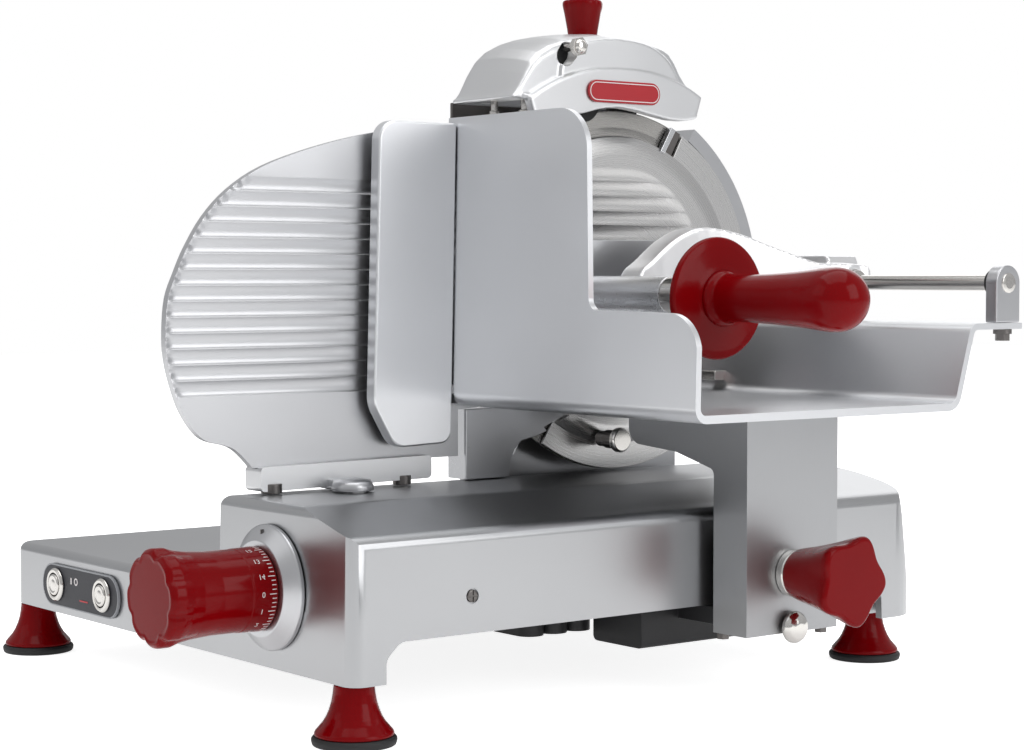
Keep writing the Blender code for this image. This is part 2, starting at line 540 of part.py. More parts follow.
def carriage_knob():
    to_object("star_collar", [lathe([(38.3, 5.8), (38.3, 15.5), (43, 15.5), (44.2, 14.5), (44.2, 5.8)], "X",
                                    (STAR_Y, STAR_Z), 28)], "tilt_pivot", "steel")
    shape = [(31.2, 0), (31.2, 5.2), (44.6, 5.2), (44.6, 15.6), (46, 16.4), (58, 19.4, 0.02), (68, 23.4, 0.05),
             (78, 26.6, 0.08), (88, 28.6, 0.10), (92, 28.4, 0.10), (93.5, 26.0, 0.10), (93.5, 0)]
    to_object("carriage_knob", [lathe(shape, "X", (STAR_Y, STAR_Z), 50, 5)], "star_pivot", "red_gloss")
    head = [(31.2, 0), (31.2, 4.1), (39.6, 4.1), (39.6, 9.4), (42, 10.5), (44, 10.2), (46.6, 7.6), (47.6, 3.6),
            (47.8, 0)]
    to_object("release_pin", [lathe(head, "X", (PIN_Y, PIN_Z), 24)], "release_pivot", "steel")


# ---------------------------------------------------------------- pusher

def pusher():
    to_object("rod_bushing", [tube("X", -80, -15, (ROD_Y, ROD_Z), ROD_R + 0.25, 8.6, 24)], "rod_pivot",
              "steel")
    side = [(250, 273), (266, 283), (284, 297), (305, 304), (335, 302), (375, 289), (424, 280),
            (431, 278), (431, 257), (405, 253), (375, 258), (330, 264), (300, 262), (278, 254), (262, 247),
            (240, 252)]
    made = to_object("pusher_arm", [prism(side, "X", -100, -14)], "pusher_pivot", "cast_aluminium")
    plan = [(-57.5, 225), (-38, 225), (-37, 300), (-32, 345), (-23, 385), (-17.2, 412), (-17.2, 452),
            (-79.5, 452), (-79.5, 412), (-72, 372), (-61, 320)]
    boolean(made, "INTERSECT", "pusher_pivot", prism(plan, "Z", 200, 330))
    boolean(made, "UNION", "pusher_pivot", rod("X", -79.3, -17, (ROD_Y, ROD_Z), 13.0, 28),
            prism(fillet([(-64, 262), (-20, 262), (-30, 286.5), (-64, 286.5)], [0, 0, 3, 6], 3), "Y", 414, 441),
            rod("X", -87.3, -6.3, (GRIP_Y, GRIP_Z + 2), 12.0, 28))
    boolean(made, "DIFFERENCE", "pusher_pivot", rod("X", -130, 0, (ROD_Y, ROD_Z), 9.0, 24))
    plate = fillet([(180, 200), (345, 198), (345, 262), (330, 297), (180, 297)], [14, 10, 12, 10, 10], 3)
    to_object("pusher_plate", [prism(plate, "X", -92.8, -87.6)], "pusher_pivot", "cast_aluminium")
    to_object("grip_collar", [rod("X", -6, 31.7, (GRIP_Y, GRIP_Z + 1.5), 11.2, 28)], "pusher_pivot",
              "steel")
    guard = [(32, 0), (32, 34), (33, 37.2), (34.6, 38.3), (37, 38.2), (38.6, 36), (41, 18), (41, 0)]
    to_object("grip_guard", [lathe(guard, "X", (GRIP_Y, GRIP_Z), 44)], "pusher_pivot", "red_gloss")
    grip = [(41.3, 0), (41.3, 17.2), (43.5, 16.6), (47, 14.8), (62, 14.9), (85, 15.4), (110, 16.6),
            (127, 18.0), (138, 18.8), (146, 18.1), (152, 15.0), (156, 9.4), (157.7, 4), (158, 0)]
    to_object("pusher_grip", [lathe(grip, "X", (GRIP_Y, GRIP_Z), 32)], "pusher_pivot", "red_gloss")


# ---------------------------------------------------------------- sharpener

def sharpener():
    # (along Y, underside, top, how far the front of the top sinks at this place)
    tops = [(204, 391, 400, 0.0), (209.5, 390, 410, 0.2), (215, 389, 419.5, 0.15), (222, 387.5, 425.5, 0.1),
            (232, 386, 430.5, 0.07), (255, 385, 436.5, 0.05), (279, 388, 438.6, 0.04), (303, 388, 438, 0.04),
            (325, 385, 434, 0.03), (336, 384, 429.5, 0.02), (350, 383, 409, 0.0), (366, 383, 399.5, 0.0)]
    slope = [(-172, 0, 0), (-172, 0.88, 0), (-168.5, 0.97, 0), (-160, 1.0, 0), (-133, 0.99, 0.25),
             (-114, 0.97, 0.8), (-107, 0.90, 1.0), (-107, 0, 1)]
    rings = []
    for y, low, high, sink in tops:
        rings.append([(x, y, low + (high - low) * part * (1 - sink * drop * (part > 0))) for x, part, drop in slope])
    made = to_object("sharpener_head", [loft(rings)], "sharpener_pivot", "cast_aluminium")
    lip = [(208, 390), (237, 403), (257, 409.5), (284, 412.5), (324, 411.5), (342, 405.5), (361, 398),
           (356, 381.5), (333, 380.5), (313, 385), (284, 387), (258, 384), (236, 381), (209, 380)]
    boolean(made, "UNION", "sharpener_pivot", prism(lip, "X", -112, -100))
    rim = fillet([(-177, 197.5), (-106, 205), (-101.5, 213), (-101.5, 300), (-177, 300)], [5, 4, 6, 0, 0], 3)
    boolean(made, "UNION", "sharpener_pivot", prism(rim, "Z", 389.6, 395.2))
    boolean(made, "UNION", "sharpener_pivot", rod("Z", 397, 439.3, (SHARP_X, SHARP_Y), 9.6, 24))
    boolean(made, "DIFFERENCE", "sharpener_pivot", block((-150, -114), (224, 340), (370, 409)),
            block((-150, -114), (330, 354), (370, 394)),
            rod("Z", 370, 407, (SHARP_X, SHARP_Y), 6.5, 20), rod("X", -120, -90, (248, 425.5), 3.4, 12),
            rod("X", -190, -145, (240, 406), 3.4, 12))
    to_object("sharpener_post", [rod("Z", 380.3, 405.5, (SHARP_X, SHARP_Y), 6.0, 20)], "slicer_root", "steel")
    knob = [(439.6, 0), (439.6, 9.6), (441, 9.9), (445, 10.5), (454, 12.0), (459, 13.2, 0.02),
            (462.5, 14.0, 0.03), (465, 13.4, 0.03), (466, 11, 0.02), (466, 0)]
    to_object("sharpener_knob", [lathe(knob, "Z", (SHARP_X, SHARP_Y), 40, 8)], "sharp_knob_pivot",
              "red_gloss")
    to_object("badge", [prism(capsule((288.5, 397), 64, 15, 6), "X", -99.7, -98.4)], "sharpener_pivot",
              "red_gloss")
    push = [(-112, 0), (-112, 3), (-103.5, 3), (-103.5, 6.5), (-96.5, 6.5), (-94.8, 5), (-94.3, 0)]
    to_object("sharp_button_front", [lathe(push, "X", (248, 425.5), 16)], "sharp_front_pivot", "steel")
    back = [(-152, 0), (-152, 3), (-176, 3), (-176, 6.5), (-183, 6.5), (-185, 5), (-185.5, 0)]
    to_object("sharp_button_back", [lathe(back, "X", (240, 406), 16)], "sharp_back_pivot", "steel")
    to_object("wheel_front", [lathe([(-131, 0), (-131, 14), (-126, 14), (-126, 4), (-115.5, 4), (-115.5, 0)],
                                    "X", (275, 392), 20)], "wheel_front_pivot", "black_plastic")
    to_object("wheel_back", [lathe([(-149, 0), (-149, 4), (-143.4, 4), (-143.4, 14), (-138.4, 14), (-138.4, 0)],
                                   "X", (322, 395), 20)], "wheel_back_pivot", "black_plastic")


def centre_on_floor():
    """Moves the whole machine so that the middle of its bounding box's underside is the origin."""
    bpy.context.view_layer.update()
    graph = bpy.context.evaluated_depsgraph_get()
    low, high = [1e9] * 3, [-1e9] * 3
    for thing in PARTS.objects:
        if thing.type != "MESH":
            continue
        shown = thing.evaluated_get(graph)
        mesh = shown.to_mesh()
        for corner in mesh.vertices:
            point = shown.matrix_world @ corner.co
            for i in range(3):
                low[i], high[i] = min(low[i], point[i]), max(high[i], point[i])
        shown.to_mesh_clear()
    root = bpy.data.objects["slicer_root"]
    root.location = (-(low[0] + high[0]) / 2, -(low[1] + high[1]) / 2, -low[2])


make_pivots()
base_casting()
base_underside()
feet()
control_panel()
thickness_dial()
gauge_plate()
gauge_bracket()
blade()
drive()
blade_housing()
pulley_cover()
blade_cover()
slide_block()
carriage_arm()
carriage_tray()
finger_guard()
guard_fix()
pusher_rod()
carriage_knob()
pusher()
sharpener()
centre_on_floor()
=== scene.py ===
"""Looks of a vertical meat slicer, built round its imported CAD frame.

Shapes are written in the machine's own frame, in millimetres: X = 0 is the right side of the base, Y = 0 its
front and Z = 0 the surface under the pads. at() turns them into the row frame, in metres.
"""

import math

import bmesh
import bpy
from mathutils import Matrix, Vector


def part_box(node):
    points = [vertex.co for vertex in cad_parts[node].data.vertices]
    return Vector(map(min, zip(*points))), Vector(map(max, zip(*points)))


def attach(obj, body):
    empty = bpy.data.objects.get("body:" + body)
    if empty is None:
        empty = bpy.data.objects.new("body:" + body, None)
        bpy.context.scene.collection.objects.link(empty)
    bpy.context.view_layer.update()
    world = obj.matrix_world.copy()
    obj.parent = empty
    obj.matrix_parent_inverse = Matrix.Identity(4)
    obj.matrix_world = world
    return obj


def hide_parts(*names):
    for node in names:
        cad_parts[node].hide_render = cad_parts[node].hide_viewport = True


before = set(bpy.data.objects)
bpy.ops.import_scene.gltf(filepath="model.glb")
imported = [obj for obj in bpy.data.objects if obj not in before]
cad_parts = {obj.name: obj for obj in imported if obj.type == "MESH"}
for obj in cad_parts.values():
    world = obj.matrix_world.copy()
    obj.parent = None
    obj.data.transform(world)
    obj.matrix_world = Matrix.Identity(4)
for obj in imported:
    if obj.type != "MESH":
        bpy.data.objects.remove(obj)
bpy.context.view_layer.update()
MM = 0.001
base_low, base_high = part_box("base_casting")
ORIGIN = Vector((base_high.x, base_low.y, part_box("pad_front_left")[0].z))


def centre_of(node):
    """The middle of a CAD node's box, in machine millimetres."""
    low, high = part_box(node)
    return [(v - o) / MM for v, o in zip((low + high) / 2, ORIGIN)]


BLADE = tuple(centre_of("blade")[1:])
DIAL = tuple(centre_of("dial_shaft")[i] for i in (0, 2))
GRIP = tuple(centre_of("pusher_grip")[1:])
ROD = tuple(centre_of("pusher_rod")[1:])
STAR = tuple(centre_of("star_collar")[1:])
PIN = tuple(centre_of("release_pin")[1:])
SHARP = tuple(centre_of("sharpener_post")[:2])
GUIDE = tuple(centre_of("guide_rod")[i] for i in (0, 2))
ROD_R = (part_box("pusher_rod")[1].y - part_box("pusher_rod")[0].y) / 2 / MM
FEET = {side: tuple(centre_of("pad_" + side)[:2])
        for side in ("front_left", "front_right", "rear_left", "rear_right")}
BUTTONS = {"on": centre_of("button_on")[0], "off": centre_of("button_off")[0]}
BUTTON_Z = centre_of("button_on")[2]
PANEL_MIDDLE = (-336.5, BUTTON_Z - 0.4)
SIDE_SCREW = (86, 82)
MOTOR = (BLADE[0], 104)
COVER_NUT = (291, 160)
HINGE = (21, 55)
BARREL_AXIS = (GRIP[0], GRIP[1] + 2)
BADGE_MIDDLE = (288.5, 397)
FRONT_PUSH = (248, 425.5)
BLADE_FACE, BLADE_BACK = -134.5, -160
RING_IN, RING_OUT = 126.8, 137.2
TICKS, TICKS_PER_NUMBER = 60, 4
FLUTES = 14


def at(point):
    return Vector(point) * MM + ORIGIN


# ---------------- materials


def new_material(name, colour, metallic, roughness):
    made = bpy.data.materials.new(name)
    made.use_nodes = True
    shader = made.node_tree.nodes["Principled BSDF"]
    shader.inputs["Base Color"].default_value = (*colour, 1)
    shader.inputs["Metallic"].default_value = metallic
    shader.inputs["Roughness"].default_value = roughness
    return made, made.node_tree, shader


def node(tree, kind, inputs=None, **settings):
    """A new node with its settings and the values of its unlinked inputs."""
    made = tree.nodes.new("ShaderNode" + kind)
    for name, value in settings.items():
        setattr(made, name, value)
    for name, value in (inputs or {}).items():
        made.inputs[name].default_value = value
    return made


def noise(tree, scale, stretch=(1, 1, 1), detail=3.0, roughness=0.5):
    """Noise in the object's own coordinates, stretched along an axis for a grain."""
    spread = node(tree, "Mapping", {"Scale": stretch})
    made = node(tree, "TexNoise", {"Scale": scale, "Detail": detail, "Roughness": roughness})
    tree.links.new(node(tree, "TexCoord").outputs["Object"], spread.inputs["Vector"])
    tree.links.new(spread.outputs["Vector"], made.inputs["Vector"])
    return made.outputs["Fac"]


def remap(tree, value, low, high, start=0.3, end=0.7):
    made = node(tree, "MapRange", {"From Min": start, "From Max": end, "To Min": low, "To Max": high})
    tree.links.new(value, made.inputs["Value"])
    return made.outputs["Result"]


def sum_of(tree, one, two):
    made = node(tree, "Math", operation="ADD")
    tree.links.new(one, made.inputs[0])
    tree.links.new(two, made.inputs[1])
    return made.outputs[0]


def two_tone(tree, shader, value, dark, light):
    made = node(tree, "Mix", data_type="RGBA")
    made.inputs["A"].default_value = (*dark, 1)
    made.inputs["B"].default_value = (*light, 1)
    tree.links.new(value, made.inputs["Factor"])
    tree.links.new(made.outputs["Result"], shader.inputs["Base Color"])


def bumps(tree, shader, height, strength):
    made = node(tree, "Bump", {"Strength": strength, "Distance": 0.0002})
    tree.links.new(height, made.inputs["Height"])
    tree.links.new(made.outputs["Normal"], shader.inputs["Normal"])


def metal(name, colour, roughness, grain=(1, 1, 1), grain_scale=900.0, bump=0.12, spread=0.05):
    """Satin metal: a fine grain, soft patches of finish and a slight change of tone."""
    made, tree, shader = new_material(name, colour, 1.0, roughness)
    patches = remap(tree, noise(tree, 9.0, detail=2.0), 0.0, 1.0)
    fine = noise(tree, grain_scale, grain, detail=4.0, roughness=0.6)
    low = remap(tree, patches, roughness - spread / 2, roughness + spread / 2, 0, 1)
    high = remap(tree, fine, -spread / 2, spread / 2)
    tree.links.new(sum_of(tree, low, high), shader.inputs["Roughness"])
    two_tone(tree, shader, patches, [c * 0.95 for c in colour], colour)
    bumps(tree, shader, fine, bump)
    return made


def vector_step(tree, operation, value, other=(0, 0, 0)):
    made = node(tree, "VectorMath", {1: other}, operation=operation)
    tree.links.new(value, made.inputs[0])
    return made.outputs["Value" if operation == "LENGTH" else "Vector"]


def turned_steel(name, colour, roughness):
    """Ground steel with circular marks round the blade's axis."""
    made, tree, shader = new_material(name, colour, 1.0, roughness)
    spot = node(tree, "TexCoord").outputs["Object"]
    from_middle = vector_step(tree, "SUBTRACT", spot, at((0, *BLADE)))
    across = vector_step(tree, "MULTIPLY", from_middle, (0, 1, 1))
    rings = node(tree, "TexNoise", noise_dimensions="1D")
    rings.inputs["Scale"].default_value = 1900.0
    rings.inputs["Detail"].default_value = 4.0
    tree.links.new(vector_step(tree, "LENGTH", across), rings.inputs["W"])
    tree.links.new(remap(tree, rings.outputs["Fac"], roughness - 0.02, roughness + 0.03),
                   shader.inputs["Roughness"])
    two_tone(tree, shader, remap(tree, rings.outputs["Fac"], 0, 1), [c * 0.95 for c in colour], colour)
    bumps(tree, shader, rings.outputs["Fac"], 0.02)
    shader.inputs["Anisotropic"].default_value = 0.30
    tangent = node(tree, "Tangent", direction_type="RADIAL", axis="X")
    tree.links.new(tangent.outputs["Tangent"], shader.inputs["Tangent"])
    return made


def plastic(name, colour, roughness, bump=0.03, scale=260.0, coat=0.0, specular=0.5):
    """Moulded plastic or rubber: soft patches of gloss and a fine skin."""
    made, tree, shader = new_material(name, colour, 0.0, roughness)
    shader.inputs["Specular IOR Level"].default_value = specular
    patches = remap(tree, noise(tree, 14.0, detail=3.0), 0.0, 1.0)
    fine = noise(tree, scale, detail=3.0)
    low = remap(tree, patches, roughness - 0.03, roughness + 0.03, 0, 1)
    tree.links.new(sum_of(tree, low, remap(tree, fine, -0.02, 0.02)), shader.inputs["Roughness"])
    two_tone(tree, shader, patches, [c * (1 - 0.12) for c in colour], colour)
    bumps(tree, shader, fine, bump)
    shader.inputs["Coat Weight"].default_value = coat
    shader.inputs["Coat Roughness"].default_value = 0.06
    return made


CAST = metal("cast_satin", (0.55, 0.555, 0.57), 0.30, grain=(1, 0.15, 1), bump=0.03,
    spread=0.03)
BASE = metal("base_satin", (0.46, 0.465, 0.475), 0.31, grain=(1, 0.3, 1), grain_scale=500.0,
    bump=0.004, spread=0.012)
GAUGE = metal("gauge_satin", (0.57, 0.575, 0.59), 0.37, grain=(1, 0.1, 1), bump=0.02,
    spread=0.03)
HEAD = metal("head_satin", (0.70, 0.705, 0.715), 0.36, bump=0.02, spread=0.04)
ARM = metal("arm_satin", (0.88, 0.88, 0.89), 0.32, bump=0.02, spread=0.04)
SHEET = metal("sheet_satin", (0.79, 0.80, 0.82), 0.33, grain=(1, 1, 0.08), bump=0.04,
    grain_scale=1300.0)
BARREL = metal("barrel_satin", (0.66, 0.665, 0.675), 0.28, bump=0.03)
EDGE = metal("polished_edge", (0.86, 0.87, 0.89), 0.18, bump=0.03, spread=0.04)
BRACKET = metal("column_brushed", (0.43, 0.435, 0.445), 0.42, grain=(1, 1, 0.06),
    bump=0.04, grain_scale=1100.0)
CHROME = metal("bright_steel", (0.70, 0.68, 0.65), 0.14, bump=0.02, spread=0.05)
ROD_STEEL = metal("rod_steel", (0.60, 0.585, 0.56), 0.20, grain=(0.04, 1, 1), bump=0.04)
BLADE_STEEL = turned_steel("blade_ground", (0.40, 0.39, 0.375), 0.26)
COVER = turned_steel("cover_turned", (0.62, 0.615, 0.61), 0.28)
RED = plastic("red_gloss_shell", (0.185, 0.0006, 0.002), 0.16, coat=0.05, specular=0.09)
RED_SATIN = plastic("red_badge", (0.42, 0.006, 0.014), 0.35, coat=0.2)
RUBBER = plastic("black_rubber_pad", (0.012, 0.012, 0.013), 0.62, bump=0.30, scale=700.0)
BLACK = plastic("black_moulded", (0.018, 0.018, 0.020), 0.48, bump=0.18, scale=520.0)
PANEL = plastic("panel_dark", (0.032, 0.033, 0.040), 0.42, bump=0.12, scale=620.0, specular=0.3)
PANEL_EDGE = plastic("panel_rim", (0.30, 0.31, 0.33), 0.38, bump=0.05)
MARK_WHITE = plastic("mark_white", (0.78, 0.74, 0.74), 0.45, bump=0.02)
MARK_RED = plastic("mark_red", (0.55, 0.02, 0.03), 0.45, bump=0.02)
DARK_STEEL = metal("dark_steel", (0.16, 0.15, 0.145), 0.34, bump=0.08)


# ---------------- shapes

def place(axis, along, u, v):
    return {"X": (along, u, v), "Y": (u, along, v), "Z": (u, v, along)}[axis]


def prism(outline, axis, low, high):
    count = len(outline)
    points = [place(axis, end, u, v) for end in (low, high) for u, v in outline]
    sides = [(i, (i + 1) % count, count + (i + 1) % count, count + i) for i in range(count)]
    return points, [tuple(range(count)), tuple(reversed(range(count, 2 * count)))] + sides


def block(x, y, z):
    return prism([(x[0], y[0]), (x[1], y[0]), (x[1], y[1]), (x[0], y[1])], "Z", *z)


def loft(rings):
    count = len(rings[0])
    points = [corner for ring in rings for corner in ring]
    faces = [tuple(range(count)), tuple(reversed(range(len(points) - count, len(points))))]
    for k in range(len(rings) - 1):
        for i in range(count):
            j = (i + 1) % count
            faces.append((k * count + i, k * count + j, (k + 1) * count + j, (k + 1) * count + i))
    return points, faces


def round_line(points, radius, steps=5):
    """Rounds the inner corners of an open line of (along, radius) points."""
    done = [points[0]]
    for before, here, after in zip(points, points[1:], points[2:]):
        r = here[2] if len(here) > 2 else radius
        p, a, b = Vector(here[:2]), Vector(before[:2]), Vector(after[:2])
        one, two = a - p, b - p
        reach = min(r, one.length * 0.48, two.length * 0.48)
        if reach < 0.02 or one.angle(two) > math.pi - 0.05:
            done.append(tuple(p))
            continue
        start, end = p + one.normalized() * reach, p + two.normalized() * reach
        for k in range(steps + 1):
            t = k / steps
            done.append(tuple(start.lerp(p, t).lerp(p.lerp(end, t), t)))
    done.append(points[-1][:2])
    return done


def turned(profile, axis, centre, steps=72, shape=None):
    """Turns (along, radius) points round an axis. shape(along, turn) may scale the radius."""
    points, faces, rings = [], [], []
    for along, radius in profile:
        start = len(points)
        if radius < 1e-6:
            points.append(place(axis, along, *centre))
            rings.append([start] * steps)
            continue
        for i in range(steps):
            turn = 2 * math.pi * i / steps
            r = radius * (shape(along, turn) if shape else 1)
            points.append(place(axis, along, centre[0] + r * math.cos(turn), centre[1] + r * math.sin(turn)))
        rings.append(list(range(start, start + steps)))
    closed = profile[0][1] > 1e-6 and profile[-1][1] > 1e-6
    for one, two in list(zip(rings, rings[1:])) + ([(rings[-1], rings[0])] if closed else []):
        for i in range(steps):
            j = (i + 1) % steps
            corners = []
            for corner in (one[i], one[j], two[j], two[i]):
                if corner not in corners:
                    corners.append(corner)
            if len(corners) > 2:
                faces.append(tuple(corners))
    return points, faces


def lathe(profile, soft, axis, centre, steps=72, shape=None, curve=5):
    """Turns an open line of (along, radius) points whose corners are rounded by soft."""
    return turned(round_line(profile, soft, curve), axis, centre, steps, shape)


def between(stops, along):
    """The value at along on the straight lines that join (along, value) stops."""
    value = 0.0
    for (a, low), (b, high) in zip(stops, stops[1:]):
        if min(a, b) <= along <= max(a, b):
            value = low + (high - low) * (along - a) / (b - a)
    return value


def bar(axis, low, high, centre, radius, steps=48, soft=0):
    line = [(low, 0), (low, radius), (high, radius), (high, 0)]
    return turned(round_line(line, soft) if soft else line, axis, centre, steps)


def fillet(corners, radii, steps=10):
    done = []
    count = len(corners)
    for i, radius in enumerate(radii):
        here, before, after = corners[i], corners[i - 1], corners[(i + 1) % count]
        if not radius:
            done.append(here)
            continue
        a = math.atan2(before[1] - here[1], before[0] - here[0])
        b = math.atan2(after[1] - here[1], after[0] - here[0])
        spread = (b - a + math.pi) % (2 * math.pi) - math.pi
        reach = radius / abs(math.tan(spread / 2))
        middle = a + spread / 2
        hub = radius / abs(math.sin(spread / 2))
        centre = (here[0] + hub * math.cos(middle), here[1] + hub * math.sin(middle))
        one = (here[0] + reach * math.cos(a), here[1] + reach * math.sin(a))
        two = (here[0] + reach * math.cos(b), here[1] + reach * math.sin(b))
        start = math.atan2(one[1] - centre[1], one[0] - centre[0])
        end = math.atan2(two[1] - centre[1], two[0] - centre[0])
        sweep = (end - start + math.pi) % (2 * math.pi) - math.pi
        for k in range(steps + 1):
            turn = start + sweep * k / steps
            done.append((centre[0] + radius * math.cos(turn), centre[1] + radius * math.sin(turn)))
    return done


def smooth_line(points, steps=6, closed=False):
    """A Catmull-Rom line through the points."""
    done = []
    count = len(points)
    for i in range(count if closed else count - 1):
        p = [Vector(points[(i + k) % count] if closed else points[min(max(i + k, 0), count - 1)])
             for k in (-1, 0, 1, 2)]
        for k in range(steps):
            t = k / steps
            done.append(tuple(0.5 * ((2 * p[1]) + (p[2] - p[0]) * t
                + (2 * p[0] - 5 * p[1] + 4 * p[2] - p[3]) * t ** 2
                + (3 * p[1] - p[0] - 3 * p[2] + p[3]) * t ** 3)))
    if not closed:
        done.append(tuple(points[-1]))
    return done


def polar(centre, radius, degrees):
    turn = math.radians(degrees)
    return centre[0] + radius * math.cos(turn), centre[1] + radius * math.sin(turn)


def arc(centre, radius, first, last, steps):
    return [polar(centre, radius, first + (last - first) * k / steps) for k in range(steps + 1)]


def capsule(centre, length, height, steps=16):
    r = height / 2
    half = length / 2 - r
    return (arc((centre[0] + half, centre[1]), r, -90, 90, steps)
            + arc((centre[0] - half, centre[1]), r, 90, 270, steps))


def belt_line(low, low_r, high, high_r, steps=36):
    lean = math.degrees(math.asin((high_r - low_r) / (high[1] - low[1])))
    return arc(high, high_r, -lean, 180 + lean, steps) + arc(low, low_r, 180 + lean, 360 - lean, steps // 2)


def hexagon(axis, low, high, centre, across, turn=0.0):
    r = across / math.sqrt(3)
    return prism([polar(centre, r, 60 * k + turn) for k in range(6)], axis, low, high)


def hollow_prism(outer, inner, axis, low, high):
    """A frame between two outlines that have the same number of points."""
    count = len(outer)
    points = [place(axis, end, u, v) for end in (low, high) for line in (outer, inner) for u, v in line]
    faces = []
    for i in range(count):
        j = (i + 1) % count
        faces += [(i, j, 2 * count + j, 2 * count + i), (count + i, 3 * count + i, 3 * count + j, count + j),
                  (i, count + i, count + j, j), (2 * count + i, 2 * count + j, 3 * count + j, 3 * count + i)]
    return points, faces


def capsule_frame(centre, length, height, inset, axis, low, high):
    """A thin frame of capsule shape."""
    inner = capsule(centre, length - 2 * inset, height - 2 * inset)
    return hollow_prism(capsule(centre, length, height), inner, axis, low, high)


# ---------------- pieces

def raw(name, shapes):
    work = bmesh.new()
    for points, faces in shapes:
        corners = [work.verts.new(at(p)) for p in points]
        for face in faces:
            work.faces.new([corners[i] for i in face])
    bmesh.ops.recalc_face_normals(work, faces=work.faces)
    mesh = bpy.data.meshes.new(name)
    work.to_mesh(mesh)
    work.free()
    made = bpy.data.objects.new(name, mesh)
    bpy.context.scene.collection.objects.link(made)
    return made


def settle(obj):
    """Applies the modifiers that shape the piece."""
    graph = bpy.context.evaluated_depsgraph_get()
    mesh = bpy.data.meshes.new_from_object(obj.evaluated_get(graph))
    obj.modifiers.clear()
    old, obj.data = obj.data, mesh
    bpy.data.meshes.remove(old)
    mesh.name = obj.name


class Piece:
    """One visible piece, shaped step by step and then given its look and the body that it rides on."""

    def __init__(self, name, *shapes):
        self.obj = raw(name, shapes)
        self.shapes = len(shapes)
        self.soft = False

    def join(self, other, operation):
        """Joins or cuts by another piece, which is used up."""
        step = self.obj.modifiers.new(operation, "BOOLEAN")
        step.operation, step.solver, step.object = operation, "EXACT", other.obj
        step.use_self = other.shapes > 1
        settle(self.obj)
        bpy.data.objects.remove(other.obj)
        return self

    def add(self, *shapes):
        return self.join(Piece("helper", *shapes), "UNION")

    def cut(self, *shapes):
        return self.join(Piece("helper", *shapes), "DIFFERENCE")

    def keep(self, *shapes):
        return self.join(Piece("helper", *shapes), "INTERSECT")

    def bevel(self, width, segments=3, angle=32, second=False):
        step = self.obj.modifiers.new("edges", "BEVEL")
        step.width, step.segments, step.limit_method = width * MM, segments, "ANGLE"
        step.angle_limit = math.radians(angle)
        step.miter_outer = "MITER_ARC"
        step.use_clamp_overlap = True
        if second:
            step.material = 1
            self.obj.data.materials.clear()
            self.obj.data.materials.append(SHEET)
            self.obj.data.materials.append(EDGE)
        settle(self.obj)
        return self

    def cast(self, voxel, rounds, factor=0.5):
        """Melts overlapping shapes into one casting with soft corners."""
        step = self.obj.modifiers.new("melt", "REMESH")
        step.mode, step.voxel_size, step.adaptivity = "VOXEL", voxel * MM, 0.0
        soft = self.obj.modifiers.new("soft", "SMOOTH")
        soft.factor, soft.iterations = factor, rounds
        settle(self.obj)
        self.soft = True
        return self

    def done(self, body, looks, replaces=(), angle=32, slot=None):
        """Gives the piece its looks, its body and the CAD nodes it stands for. slot is not used."""
        looks = looks if isinstance(looks, (list, tuple)) else [looks]
        mesh = self.obj.data
        mesh.materials.clear()
        for look in looks:
            mesh.materials.append(look)
        mesh.shade_smooth()
        if not self.soft:
            mesh.set_sharp_from_angle(angle=math.radians(angle))
            step = self.obj.modifiers.new("normals", "WEIGHTED_NORMAL")
            step.keep_sharp = True
        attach(self.obj, body)
        nodes = [replaces] if isinstance(replaces, str) else replaces
        if nodes:
            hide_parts(*nodes)


# ---------------- base

